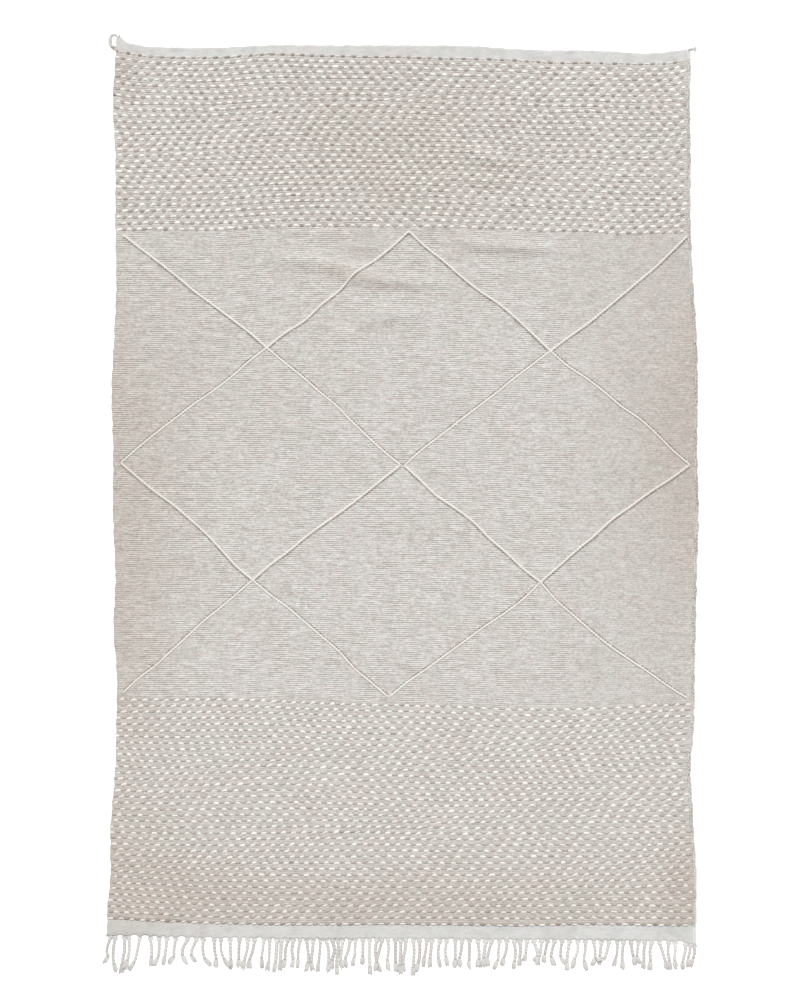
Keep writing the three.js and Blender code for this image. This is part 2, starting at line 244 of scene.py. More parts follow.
# Slow waves of the picks in the field: turns across the rug, turns along it, size, start in turns
FIELD_WAVES = np.array([
    [1.3, 2.2, 1.6 * MM, 0.1],
    [2.7, -1.6, 1.3 * MM, 0.6],
    [4.1, 4.3, 0.8 * MM, 0.3],
    [0.6, -7.4, 0.7 * MM, 0.8],
    [6.8, 9.5, 0.4 * MM, 0.5],
])

# Powers by which these waves rise from the bands, and the bands' drift fades into the field
WAVES_RISE = 0.5
DRIFT_FADES = 8

# Small waves of each pick by itself, in its place and in its height: turns across the rug, size
JITTER_WAVES = [(3.3, 0.36 * MM), (8.1, 0.26 * MM)]
HEIGHT_WAVES = [(5.2, 0.12), (13.7, 0.1)]

# Where the ribs stand out less: from which share across, over how much of the width, and by how
# much in the field, and how clear they are between the dash rows
FLATTER_FROM = 0.73
FLATTER_OVER = 0.12
FLATTER_BY = 0.6
RIBS_IN_UPPER_BAND = 0.8
RIBS_IN_LOWER_BAND = 0.5
RIB_ROUNDNESS = 0.8

# Soft wrinkles: middle, length, width, height, turn in degrees
WRINKLES = [
    (-190, 624, 240, 42, 7.4, -12),
    (-30, 585, 240, 36, 6.0, -4),
    (-190, 708, 90, 28, 2.2, -4),
    (-110, 676, 110, 26, 2.6, -5),
    (285, 674, 280, 34, 6.2, -5),
    (300, 612, 120, 34, 2.2, -16),
    (-20, 498, 160, 40, 3.6, -4),
    (235, 905, 180, 38, 4.8, -16),
    (200, 850, 150, 34, 2.6, -6),
    (330, 788, 150, 26, 2.2, 0),
    (-55, 852, 90, 36, 2.0, 0),
    (510, 1095, 90, 30, 3.4, -48),
    (-150, 62, 220, 40, 1.4, 8),
]
WRINKLE_NARROWS = 2.2

# Low swells of the whole cloth: turns for a metre across and along, size, start in turns
SWELLS = np.array([
    [1.7, 2.3, 0.7 * MM, 0.15],
    [-2.6, 3.4, 0.5 * MM, 0.55],
    [0.7, 5.1, 0.45 * MM, 0.35],
    [4.2, -1.1, 0.35 * MM, 0.75],
])

# Where the wool is a little darker and warmer: middle, reach across and along, strength. The narrow
# zones just on the near side of the wrinkles are painted shade in their lee
TONE_ZONES = [
    (-770, -80, 165, 540, 1.25),
    (-770, -1050, 240, 190, 1.1),
    (-750, -1070, 80, 130, 0.9),
    (-735, 1120, 60, 90, 0.6),
    (770, 180, 170, 460, 1.1),
    (745, -1000, 70, 170, 0.9),
    (-20, 930, 330, 240, 0.5),
    (-60, -1065, 900, 110, 0.8),
    (-600, 350, 300, 300, 0.25),
    (-178, 612, 75, 13, 0.9),
    (-112, 592, 60, 12, 0.8),
    (0, 950, 1200, 280, 0.12),
    (0, -820, 1200, 200, 0.1),
    (-45, 569, 80, 11, 0.9),
    (-103, 664, 42, 9, 0.7),
    (-178, 695, 34, 10, 0.5),
    (270, 662, 75, 8, 0.6),
    (-62, 470, 48, 14, 0.6),
    (230, 888, 75, 10, 0.6),
    (215, 838, 60, 8, 0.5),
]

random = np.random.default_rng(11)
JITTER_STARTS = random.random((LAST_PICK + 3, 3))
RIB_STARTS = random.random((LAST_PICK + 3, 2))


def smooth(stations, values, places):
    """A curve through the values at the stations. Between two stations it is a cubic whose slope at
    each is that of the line from the station before it to the station after it."""
    slopes = np.gradient(values, stations, axis=0)
    low = np.clip(np.searchsorted(stations, places, side="right") - 1, 0, len(stations) - 2)
    step = stations[low + 1] - stations[low]
    t = np.clip((places - stations[low]) / step, 0, 1)
    if values.ndim > 1:
        step, t = step[..., None], t[..., None]
    start = (2 * t**3 - 3 * t**2 + 1) * values[low] + (t**3 - 2 * t**2 + t) * step * slopes[low]
    end = (3 * t**2 - 2 * t**3) * values[low + 1] + (t**3 - t**2) * step * slopes[low + 1]
    return start + end


def selvedge(name, y):
    """Place across the rug of the left or the right selvedge: a smooth curve with small waves."""
    place = smooth(SIDES["along"], SIDES[name], y)
    for size, radian, start in SIDE_WAVES[name]:
        place = place + size * np.sin(y / radian + start)
    return place


def cloth_x(share, y):
    """Place across the rug: the share of the way from the left selvedge to the right one."""
    left, right = selvedge("left", y), selvedge("right", y)
    return left + share * (right - left)


def drift(share, along, values):
    """The rows' drift at a share across the rug and along a band: smooth both ways."""
    across = smooth(DRIFT_PLACES, np.eye(len(DRIFT_PLACES)), cloth_x(share, 0 * share))
    rows = np.linspace(0, 1, len(values))
    return (across * smooth(rows, values, along)).sum(-1)


def waves(share, starts, shape, around=0):
    """A sum of sines across the rug round a middle value. Each sine has its turns for the rug's
    width, its size and, at each pick, its own start."""
    sines = (
        size * np.sin(2 * np.pi * (turns * share + starts[..., number]))
        for number, (turns, size) in enumerate(shape)
    )
    return sum(sines, around)


def jitter(share, pick):
    """How far one pick wavers by itself: small waves, started anew at each pick, and straight-line
    shares between one pick and the next."""
    low = np.clip(np.floor(pick).astype(int), -1, LAST_PICK) + 1
    part = pick + 1 - low
    this = waves(share, JITTER_STARTS[low], JITTER_WAVES)
    after = waves(share, JITTER_STARTS[low + 1], JITTER_WAVES)
    return this * (1 - part) + after * part


def cloth_y(share, pick):
    """Place along the rug of a pick, which may be a part number: straight-line shares between the
    four lines that end the bands, plus the drift of the rows, the field's waves and the jitter."""
    start, end, low_start, low_end = (
        smooth(SHARES, ACROSS[name], share)
        for name in ("upper_start", "upper_end", "lower_start", "lower_end")
    )
    in_upper = pick / UPPER_END
    in_field = (pick - UPPER_END) / FIELD_PICKS
    in_lower = (pick - LOWER_START) / (LAST_PICK - LOWER_START)
    upper = start + (end - start) * in_upper + drift(share, np.clip(in_upper, 0, 1), UPPER_DRIFT)
    lower = low_start + (low_end - low_start) * in_lower
    lower = lower + drift(share, np.clip(in_lower, 0, 1), LOWER_DRIFT)
    field = end + (low_start - end) * in_field
    calm = np.sin(np.pi * np.clip(in_field, 0, 1)) ** WAVES_RISE
    for across, along, size, begin in FIELD_WAVES:
        turns = across * share + along * in_field + begin
        field = field + calm * size * np.sin(2 * np.pi * turns)
    from_upper = drift(share, np.ones_like(share), UPPER_DRIFT)
    from_lower = drift(share, np.zeros_like(share), LOWER_DRIFT)
    field = field + (1 - in_field) ** DRIFT_FADES * from_upper
    field = field + in_field**DRIFT_FADES * from_lower
    y = np.where(pick < UPPER_END, upper, np.where(pick > LOWER_START, lower, field))
    return y + jitter(share, pick)


def lift(x, y):
    """How far wrinkles and swells lift the cloth. A wrinkle is a bell across its width that dies
    away along its length, and a swell is a low sine."""
    up = np.zeros_like(x)
    for middle_x, middle_y, length, width, rise, turn in WRINKLES:
        angle = np.radians(turn)
        dx, dy = x - middle_x * MM, y - middle_y * MM
        along = dx * np.cos(angle) + dy * np.sin(angle)
        side = dy * np.cos(angle) - dx * np.sin(angle)
        fade = np.exp(-((2 * along / (length * MM)) ** 4))
        up = up + rise * MM * fade * np.exp(-((WRINKLE_NARROWS * side / (width * MM)) ** 2))
    for across, along, size, begin in SWELLS:
        up = up + size * (1 + np.sin(2 * np.pi * (across * x + along * y + begin))) / 2
    return up


def tone_zone(x, y):
    """How dark and warm the wool is at a place: a sum of soft round zones, some of them painted
    shade beside wrinkles.
    """
    tone = np.zeros_like(x)
    for middle_x, middle_y, reach_x, reach_y, strength in TONE_ZONES:
        far = ((x / MM - middle_x) / reach_x) ** 2 + ((y / MM - middle_y) / reach_y) ** 2
        tone = tone + strength * np.exp(-far)
    return tone


def rib_strength(share, pick):
    """How clearly the ribs stand out: fully in the field, but less on its right side, where the
    picks are beaten flatter, and less between the dash rows."""
    flatter = np.clip((share - FLATTER_FROM) / FLATTER_OVER, 0, 1)
    in_field = 1 - FLATTER_BY * flatter**2 * (3 - 2 * flatter)
    in_bands = np.where(pick < UPPER_END + 1, RIBS_IN_UPPER_BAND, RIBS_IN_LOWER_BAND)
    return np.where((pick > UPPER_END + 1) & (pick < LOWER_START - 1), in_field, in_bands)


def rib(share, pick):
    """Height of the cloth's face: each pick is half a round rib with its crest at the whole number,
    a little higher here and lower there, and the picks under the dash rows are sunk."""
    nearest = np.clip(np.round(pick).astype(int), 0, LAST_PICK)
    round_part = np.abs(np.cos(np.pi * (pick - nearest))) ** RIB_ROUNDNESS
    uneven = waves(share, RIB_STARTS[nearest], HEIGHT_WAVES, around=1)
    uneven = uneven * rib_strength(share, pick)
    in_band = (nearest <= UPPER_END) | (nearest >= LOWER_START)
    from_band = np.where(nearest <= UPPER_END, nearest, nearest - LOWER_START)
    sunk = np.where(in_band & (from_band % PICKS_TO_A_ROW == 0), SUNK_UNDER_DASHES, 0)
    return VALLEY + ((CREST - VALLEY) * uneven - sunk) * round_part


def way_back(columns, under_columns):
    """Which points of a line across have one below them, from the right side to the left."""
    return np.linspace(columns - 1, 0, under_columns).round().astype(int)


def closed_sheet(x, y, top, under, under_columns, tuck=0.0):
    """A sheet with its upper and its lower face. Each line runs across on top and back underneath,
    where it may have fewer points and its ends are tucked in. At each end a row of triangles goes
    from each stretch on top to the point below its right end, and back from each stretch below."""
    back = way_back(x.shape[1], under_columns)
    from_end = np.clip(1 - np.arange(len(x)) / TUCKED_LINES, 0, 1)[:, None]
    upper = np.stack([x, y, top], axis=-1)
    lower = np.stack([x, y + tuck * (from_end[::-1] - from_end), under], axis=-1)[:, back]
    points = np.concatenate([upper, lower], axis=1)
    lines, around = points.shape[:2]
    index = np.arange(lines * around).reshape(lines, around)
    ring = np.concatenate([index, index[:, :1]], axis=1)
    walls = np.stack([ring[:-1, :-1], ring[1:, :-1], ring[1:, 1:], ring[:-1, 1:]], axis=-1)
    begin = np.arange(x.shape[1] - 1)
    below = (back >= begin[:, None] + 1).sum(axis=1) - 1
    lower_begin = x.shape[1] + np.arange(under_columns - 1)
    from_top = np.stack([begin, begin + 1, x.shape[1] + below], axis=-1)
    from_under = np.stack([lower_begin, lower_begin + 1, back[1:]], axis=-1)
    end = np.concatenate([from_top, from_under])
    return points.reshape(-1, 3), [walls.reshape(-1, 4), index[0][end], index[-1][end[:, ::-1]]]


def mesh_piece(name, points, faces, material, values=None, places=None):
    """A smooth mesh piece from points and arrays of faces. Values are named numbers for each point,
    and places give each corner of each face its place in the piece's own map."""
    mesh = bpy.data.meshes.new(name)
    loops = np.concatenate([part.ravel() for part in faces]).astype(np.int32)
    sizes = np.concatenate([np.full(len(part), part.shape[1]) for part in faces])
    mesh.vertices.add(len(points))
    mesh.vertices.foreach_set("co", points.astype(np.float32).ravel())
    mesh.loops.add(len(loops))
    mesh.loops.foreach_set("vertex_index", loops)
    mesh.polygons.add(len(sizes))
    mesh.polygons.foreach_set("loop_start", (np.cumsum(sizes) - sizes).astype(np.int32))
    mesh.polygons.foreach_set("use_smooth", np.ones(len(sizes), bool))
    mesh.update(calc_edges=True)
    for label, numbers in (values or {}).items():
        attribute = mesh.attributes.new(label, "FLOAT", "POINT")
        attribute.data.foreach_set("value", numbers.astype(np.float32).ravel())
    if places is not None:
        layer = mesh.uv_layers.new(name="yarn")
        layer.data.foreach_set("uv", places.astype(np.float32).ravel())
    mesh.materials.append(material)
    piece = bpy.data.objects.new(name, mesh)
    bpy.context.scene.collection.objects.link(piece)
    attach(piece, "root")
    return piece


def corner_places(places, faces):
    """The place of each corner of each face, from the places of the points."""
    return np.concatenate([places[part.ravel()] for part in faces])


def group(name, inputs, outputs):
    """An empty node group with named sockets, its input sockets and its output sockets."""
    tree = bpy.data.node_groups.new(name, "ShaderNodeTree")
    for socket, kind in inputs.items():
        tree.interface.new_socket(name=socket, in_out="INPUT", socket_type="NodeSocket" + kind)
    for socket, kind in outputs.items():
        tree.interface.new_socket(name=socket, in_out="OUTPUT", socket_type="NodeSocket" + kind)
    return tree, tree.nodes.new("NodeGroupInput").outputs, tree.nodes.new("NodeGroupOutput").inputs


def use_group(tree, shared, **inputs):
    """Places a shared group in a material and feeds its inputs."""
    return add(tree, "ShaderNodeGroup", inputs, node_tree=shared).outputs


def mix(tree, share, first, second, blend="MIX"):
    """The colour between two colours, or the first blended with the second."""
    mixed = add(
        tree,
        "ShaderNodeMix",
        {0: share, 6: first, 7: second},
        data_type="RGBA",
        blend_type=blend,
        clamp_factor=True,
    )
    return mixed.outputs[2]


def math(tree, operation, *values):
    """A sum, product or the like of numbers and sockets."""
    return add(tree, "ShaderNodeMath", dict(enumerate(values)), operation=operation).outputs[0]


def plus(tree, first, second):
    """The sum of two numbers or sockets."""
    return math(tree, "ADD", first, second)


def times(tree, first, second):
    """The product of two numbers or sockets."""
    return math(tree, "MULTIPLY", first, second)


def shared_out(tree, first, second, share):
    """The share of the first and the rest of the second."""
    return plus(tree, times(tree, first, share), times(tree, second, 1 - share))


def spread(tree, value, low, high, to_low=0.0, to_high=1.0):
    """The value moved from one range to another and kept inside it."""
    inputs = {"Value": value, "From Min": low, "From Max": high}
    inputs |= {"To Min": to_low, "To Max": to_high}
    return add(tree, "ShaderNodeMapRange", inputs).outputs["Result"]


def noise(tree, place, grains, detail=2.0, stretch=(1, 1, 1)):
    """Noise of so many grains to a metre, drawn out where the stretch is under one."""
    drawn = add(tree, "ShaderNodeVectorMath", {0: place, 1: stretch}, operation="MULTIPLY")
    inputs = {"Vector": drawn.outputs[0], "Scale": grains, "Detail": detail}
    return add(tree, "ShaderNodeTexNoise", inputs).outputs["Fac"]


def attribute(tree, name):
    """A named number of the piece's points."""
    return add(tree, "ShaderNodeAttribute", attribute_name=name).outputs["Fac"]


def bump(tree, shader, height, depth):
    """Feeds the shader's normal from a height, which is multiplied by a depth in metres."""
    made = add(tree, "ShaderNodeBump", {"Height": height, "Distance": depth, "Strength": 1.0})
    tree.links.new(made.outputs["Normal"], shader.inputs["Normal"])


def make_loose_fibre():
    """Spun fibre at a Place in metres. Fibre is noise drawn out along X, the way of the wefts, and
    Fleck is the clumps and specks of the fleece."""
    outputs = {"Fibre": "Float", "Fleck": "Float"}
    tree, given, out = group("loose_fibre", {"Place": "Vector"}, outputs)
    fine = noise(tree, given["Place"], grains=1700, detail=3, stretch=(0.12, 1, 1))
    clumps = noise(tree, given["Place"], grains=300, detail=3, stretch=(0.6, 1, 1))
    tree.links.new(fine, out["Fibre"])
    tree.links.new(spread(tree, clumps, 0.3, 0.7), out["Fleck"])
    return tree


def make_dark_zones_and_painted_shade():
    """Yarn turns darker and warmer, in soft clouds, where Zone is high; in the narrow zones beside
    the wrinkles this is painted shade. Everywhere its tint wavers between a little pink and a
    little green."""
    tree, given, out = group(
        "dark_zones_and_painted_shade",
        {"Color": "Color", "Zone": "Float", "Place": "Vector"},
        {"Color": "Color"},
    )
    clouds = noise(tree, given["Place"], grains=8, detail=4)
    clouds = spread(tree, clouds, 0.3, 0.7, to_low=-0.1, to_high=0.16)
    share = plus(tree, given["Zone"], clouds)
    worn = mix(tree, 1.0, given["Color"], ZONE_AND_SHADE_TINT, "MULTIPLY")
    color = mix(tree, share, given["Color"], worn)
    near_hues = noise(tree, given["Place"], grains=85, detail=3)
    wide_hues = noise(tree, given["Place"], grains=10, detail=2)
    hues = shared_out(tree, near_hues, wide_hues, 0.75)
    tint = mix(tree, spread(tree, hues, 0.4, 0.6), PINK_TINT, GREEN_TINT)
    tree.links.new(mix(tree, 1.0, color, tint, "MULTIPLY"), out["Color"])
    return tree


# The darker, warmer tint of the zones and of the painted shade beside wrinkles
ZONE_AND_SHADE_TINT = (0.885, 0.85, 0.82, 1)
PINK_TINT = (1.0, 0.955, 0.955, 1)
GREEN_TINT = (0.965, 0.985, 0.965, 1)
loose_fibre = make_loose_fibre()
dark_zones_and_painted_shade = make_dark_zones_and_painted_shade()


def fibre_material(name, roughness, sheen):
    """A material of spun fibre, with its tree, its shader, the place on the rug and its fibre."""
    material, tree, shader = new_material(name, Roughness=roughness, Sheen_Weight=sheen)
    spot = add(tree, "ShaderNodeTexCoord").outputs["Object"]
    return material, tree, shader, spot, use_group(tree, loose_fibre, Place=spot)


def color_with_zones_and_shade(tree, shader, color, spot):
    """Feeds the shader's colour from a colour made darker and warmer in zones, some of them painted
    shade.
    """
    used = use_group(tree, dark_zones_and_painted_shade, Color=color, Zone=attribute(tree, "zone"), Place=spot)
    tree.links.new(used["Color"], shader.inputs["Base Color"])


def parts_of(tree, place):
    """The X and the Y of a place, by name."""
    return add(tree, "ShaderNodeSeparateXYZ", {0: place}).outputs


def yarn_map(tree):
    """The place on the piece's own map."""
    return add(tree, "ShaderNodeUVMap", uv_map="yarn").outputs["UV"]


def row_place(tree, x, row):
    """A place in a noise whose rows don't touch, so that each row has its own run."""
    return add(tree, "ShaderNodeCombineXYZ", {"X": x, "Y": row}).outputs[0]


CREAM_LIGHT = (0.77, 0.762, 0.739, 1)
CREAM_DARK = (0.487, 0.461, 0.435, 1)
# Painted shade for the valleys between picks
VALLEY_SHADE = (0.52, 0.48, 0.46, 1)

# How far apart in the noise the runs of two picks lie, and those of two valleys
PICKS_APART = 0.37
VALLEYS_APART = 0.61


def ground_wool():
    """Hand-spun cream wool: each pick has its own run of lighter and darker wool, the valleys
    between picks are darkened with painted shade, and loose fibre lies along the yarn."""
    made = fibre_material("ground_wool", roughness=0.95, sheen=0.12)
    material, tree, shader, spot, fibre = made
    part = parts_of(tree, yarn_map(tree))
    pick = math(tree, "ROUND", part["Y"])
    across = row_place(tree, part["X"], times(tree, pick, PICKS_APART))
    long_runs = noise(tree, across, grains=17)
    short_runs = noise(tree, across, grains=62)
    runs = shared_out(tree, long_runs, short_runs, 0.3)
    tone = spread(tree, runs, 0.34, 0.66, to_low=0.06, to_high=0.64)
    tone = plus(tree, tone, times(tree, fibre["Fleck"], 0.68))
    tone = math(tree, "SUBTRACT", tone, 0.25)
    tone = plus(tree, tone, times(tree, fibre["Fibre"], 0.1))
    wool = mix(tree, tone, CREAM_DARK, CREAM_LIGHT)

    # Painted shade in the valleys between picks, deeper along some runs, with an even painted shade
    # where the ribs are flatter
    off_crest = math(tree, "ABSOLUTE", math(tree, "SUBTRACT", part["Y"], pick))
    valley_row = times(tree, math(tree, "FLOOR", part["Y"]), VALLEYS_APART)
    in_valley = noise(tree, row_place(tree, part["X"], valley_row), grains=30, detail=3)
    depth = spread(tree, in_valley, 0.4, 0.62, to_low=0.35, to_high=1.4)
    ribs = attribute(tree, "ribs")
    valley = times(tree, spread(tree, off_crest, 0.26, 0.5), depth)
    flat = times(tree, math(tree, "SUBTRACT", 1.0, ribs), 0.3)
    valley = plus(tree, times(tree, valley, ribs), flat)
    shaded = mix(tree, 1.0, wool, VALLEY_SHADE, "MULTIPLY")
    color_with_zones_and_shade(tree, shader, mix(tree, valley, wool, shaded), spot)
    bump(tree, shader, fibre["Fibre"], 0.5 * MM)
    return material


def with_underside(values):
    """The values of the points on top followed by those of the points below them."""
    back = way_back(values.shape[1], UNDER_COLUMNS)
    return np.concatenate([values, values[:, back]], axis=1)


picks = np.arange(-1, LAST_PICK * LINES_TO_A_PICK + 2)[:, None] / LINES_TO_A_PICK
inner_shares = np.linspace(*INNER_REACH, INNER_COLUMNS)
shares = np.concatenate([EDGE_SHARES, inner_shares, 1 - EDGE_SHARES[::-1]])[None]
picks, shares = np.broadcast_arrays(picks, shares)
cloth_ys = cloth_y(shares, picks)
cloth_xs = cloth_x(shares, cloth_ys)
raised = lift(cloth_xs, cloth_ys)
face = rib(shares, picks)
face[:, : len(EDGE_FALL)] *= 1 - EDGE_FALL
face[:, -len(EDGE_FALL) :] *= 1 - EDGE_FALL[::-1]
points, faces = closed_sheet(
    cloth_xs, cloth_ys, raised + face, raised, UNDER_COLUMNS, UNDER_TUCK
)
weave = with_underside(np.stack([cloth_xs, picks], axis=-1)).reshape(-1, 2)
strength = with_underside(rib_strength(shares, picks)).ravel()
ground_cloth = mesh_piece(
    "ground_cloth",
    points,
    faces,
    ground_wool(),
    values={"zone": tone_zone(points[:, 0], points[:, 1]), "ribs": strength},
    places=corner_places(weave, faces),
)
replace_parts(ground_cloth, "rug_cloth")

# Twined dash rows
# Every third pick of the two bands is a pair of yarns, one white and one taupe, that twine round
# each other over the warps, so that each shows as a row of short soft dashes.
DASH_STATIONS = np.array([-1, -0.78, -0.3, 0.3, 0.78, 1])
DASH_GIRTH = np.array([0, 0.74, 1, 1, 0.74, 0])
DASH_SIDES = 6
DASH_REACH = (0.0015, 0.9905)
DASH_LIMITS = (0.0006, 0.9945)
DASH_FOOT = 2.5 * MM
DASH_CROWN = 1.2 * MM
DASH_DEPTH = 1.7 * MM
DASH_ROUNDNESS = 0.7
CLOTH_WIDTH = 1.52

# Each band: its first pick, its rows, which of them lies at the web and which way is outward from
# there, the length of a cycle, how far its dashes lean, how pale its taupe is, and the rows whose
# dashes stand in line with those before. Then for each yarn, in millimetres, the length of a dash,
# its height across the row and how far it is pushed towards the far end. Last, for the row at the
# web, the height of its white dashes and how pale its taupe is.
BANDS = [
    {
        "pick": 0,
        "rows": UPPER_ROWS,
        "web_row": 0,
        "outward": 1,
        "cycle": 30 * MM,
        "lean": 0.5,
        "pale": 0.0,
        "in_line": [8, 17, 26],
        "white": (16, 6.5, 1.0),
        "taupe": (14, 6.2, -1.1),
        "at_web": (2.4, -2.0),
    },
    {
        "pick": LOWER_START,
        "rows": LOWER_ROWS,
        "web_row": LOWER_ROWS - 1,
        "outward": -1,
        "cycle": 29 * MM,
        "lean": 0.7,
        "pale": 2.7,
        "in_line": [22],
        "white": (15, 7.0, -0.8),
        "taupe": (14.5, 6.7, 0.8),
        "at_web": (4.6, 0.6),
    },
]

# How far a row starts after the one before it, in cycles: mean and spread, and for a row in line.
# Then how much the cycles grow from the left side to the right.
ROW_STEP = (0.5, 0.05)
IN_LINE_STEP = 0.06
CYCLE_GROWS = 0.07

# The slow sway of the dashes: size, turns across the rug, turns for a row. The first two move the
# dashes along the row, in cycles, and the last one changes their lean, in millimetres.
PLACE_SWAYS = [(0.45, 1.3, 0.045), (0.12, 4.7, -0.08)]
LEAN_SWAY = (1.2, 1.1, 0.08)

# How loosely the dashes are spun: the spread of their length, height, shift and lean
DASH_SEED = 5
LENGTH_SPREAD = 0.13
HEIGHT_SPREAD = 0.11
SHIFT_SPREAD = 0.42
LEAN_SPREAD = 0.35
WHITE_AGAINST_TAUPE = -0.5


def tube_faces(count, rings, sides):
    """The faces of tubes that follow each other in a list of points: each has its rings, one
    after another, and then its two end points."""
    size = rings * sides + 2
    ring = np.arange(rings * sides).reshape(rings, sides)
    ring = np.concatenate([ring, ring[:, :1]], axis=1)
    walls = np.stack([ring[:-1, :-1], ring[1:, :-1], ring[1:, 1:], ring[:-1, 1:]], axis=-1)
    first = np.stack([np.full(sides, size - 2), ring[0, :-1], ring[0, 1:]], axis=-1)
    last = np.stack([np.full(sides, size - 1), ring[-1, 1:], ring[-1, :-1]], axis=-1)
    shift = (np.arange(count) * size)[:, None, None]
    ends = np.concatenate([first, last])
    return [(walls.reshape(-1, 4) + shift).reshape(-1, 4), (ends + shift).reshape(-1, 3)]


def angles_round(sides):
    """The angles of the points of a ring, in radians."""
    return 2 * np.pi * np.arange(sides) / sides


def tubes(paths, wide, high, sides, lobes=0.0, turn=0.0):
    """Yarns along paths, an array of (yarns, stations, 3) whose first and last stations are the
    end points. Round each other station goes an oval of half-width wide and half-height high, with
    two lobes that turn as the yarn is twisted. Gives points, faces and the corners' places: metres
    along the yarn, and the share of the way round it."""
    way = np.gradient(paths, axis=1)
    way[..., 2] = 0
    way = way / np.linalg.norm(way, axis=-1, keepdims=True)
    side = np.stack([way[..., 1], -way[..., 0], 0 * way[..., 0]], axis=-1)[:, 1:-1, None]
    angle = angles_round(sides)
    turn = np.broadcast_to(turn, paths.shape[:2])[:, 1:-1, None]
    lobe = 1 + lobes * np.cos(2 * (angle - turn))
    wide = np.broadcast_to(wide, paths.shape[:2])[:, 1:-1, None] * lobe * np.cos(angle)
    high = np.broadcast_to(high, paths.shape[:2])[:, 1:-1, None] * lobe * np.sin(angle)
    rings = paths[:, 1:-1, None] + side * wide[..., None]
    rings[..., 2] += high
    count, stations = paths.shape[0], paths.shape[1] - 2
    points = np.concatenate([rings.reshape(count, -1, 3), paths[:, :1], paths[:, -1:]], axis=1)
    faces = tube_faces(count, stations, sides)
    length = np.cumsum(np.linalg.norm(np.diff(paths, axis=1), axis=-1), axis=1)[:, :-1]
    along = np.stack([length[:, :-1], length[:, 1:], length[:, 1:], length[:, :-1]], axis=-1)
    along = np.repeat(along[:, :, None], sides, axis=2)
    step = np.arange(sides)
    around = np.stack([step, step, step + 1, step + 1], axis=-1) / sides
    around = np.broadcast_to(around, along.shape)
    ends = np.zeros((count, 2 * sides, 3, 2))
    ends[:, sides:, :, 0] = length[:, -1][:, None, None]
    ends[..., 1] = np.concatenate([step, step])[None, :, None] / sides
    walls = np.stack([along, around], axis=-1).reshape(-1, 2)
    return points.reshape(-1, 3), faces, np.concatenate([walls, ends.reshape(-1, 2)])


def sway(size, across, along, share, row):
    """A slow sine over a band of rows: so many turns across the rug and so many for each row."""
    return size * np.sin(2 * np.pi * (across * share + along * row))


def dash_rows(band, name, place_in_cycle, shift_at_edge):
    """The dashes of one yarn in one band, as seven arrays: share across the rug, pick, length,
    height, shift, lean and how pale the taupe is. Each row is a run of even places that is started
    anew, grows a little towards the right and sways."""
    step = band["cycle"] / CLOTH_WIDTH
    starts = np.random.default_rng(band["pick"] + 5).normal(*ROW_STEP, band["rows"])
    starts[band["in_line"]] = IN_LINE_STEP
    starts = np.cumsum(starts)[:, None]
    row = np.arange(band["rows"])[:, None]
    share = (np.arange(int(1 / step) + 2) + place_in_cycle - starts % 1) * step
    share = share * (1 - CYCLE_GROWS + CYCLE_GROWS * share)
    for size, across, along in PLACE_SWAYS:
        share = share + sway(size * step, across, along, share, row)
    length, height, shift = band[name]
    web_height, web_pale = band["at_web"]
    at_web = row == band["web_row"]
    if name == "white":
        height = np.where(at_web, web_height, height)
    columns = np.broadcast_arrays(
        share,
        band["pick"] + PICKS_TO_A_ROW * row,
        length,
        height,
        np.where(at_web, shift_at_edge * band["outward"], shift),
        band["lean"] + sway(*LEAN_SWAY, share, row),
        np.where(at_web, web_pale, band["pale"]),
    )
    columns = np.stack([column.ravel() for column in columns])
    return columns[:, (columns[0] > DASH_REACH[0]) & (columns[0] < DASH_REACH[1])]


def dash_yarn(name, place_in_cycle, shift_at_edge):
    """All dashes of one yarn. A dash is a tube that rises out of the cloth, swells and dips back,
    and leans a little."""
    rows = [dash_rows(band, name, place_in_cycle, shift_at_edge) for band in BANDS]
    share, pick, length, height, shift, lean, pale = np.concatenate(rows, axis=1)
    count = len(share)
    loose = np.random.default_rng(DASH_SEED)
    length = length * MM * loose.normal(1, LENGTH_SPREAD, count)
    height = height * MM * loose.normal(1, HEIGHT_SPREAD, count)
    shift = (shift + loose.normal(0, SHIFT_SPREAD, count)) * MM
    lean = (lean + loose.normal(0, LEAN_SPREAD, count)) * MM
    stations = share[:, None] + DASH_STATIONS * length[:, None] / 2 / CLOTH_WIDTH
    stations = np.clip(stations, *DASH_LIMITS)
    ys = cloth_y(stations, np.broadcast_to(pick[:, None], stations.shape))
    xs = cloth_x(stations, ys)
    ys = ys + shift[:, None] + lean[:, None] * DASH_STATIONS
    crown = np.cos(np.pi / 2 * DASH_STATIONS) ** DASH_ROUNDNESS
    paths = np.stack([xs, ys, lift(xs, ys) + DASH_FOOT + DASH_CROWN * crown], axis=-1)
    wide = height[:, None] / 2 * DASH_GIRTH
    points, faces, places = tubes(paths, wide, DASH_DEPTH * DASH_GIRTH, DASH_SIDES)
    pale = pale if name == "taupe" else WHITE_AGAINST_TAUPE * pale
    tone = np.repeat(loose.normal(0, 1, count) + pale, len(points) // count)
    return points, faces, places, tone


def twined_wool(name, light, dark, contrast):
    """Loosely spun yarn of the dashes and raised lines: each stitch has its own tone, and the ply
    runs slantwise round it."""
    material, tree, shader, spot, fibre = fibre_material(name, roughness=0.93, sheen=0.15)
    tone = times(tree, attribute(tree, "tone"), contrast)
    tone = plus(tree, tone, times(tree, fibre["Fleck"], 0.7))
    tone = plus(tree, tone, 0.2)
    color_with_zones_and_shade(tree, shader, mix(tree, tone, dark, light), spot)
    part = parts_of(tree, yarn_map(tree))
    along = times(tree, part["X"], 2 * np.pi / PLY_LENGTH)
    slant = plus(tree, along, times(tree, part["Y"], PLIES * 2 * np.pi))
    ply = times(tree, math(tree, "SINE", slant), 0.35)
    bump(tree, shader, plus(tree, fibre["Fibre"], ply), 0.45 * MM)
    return material


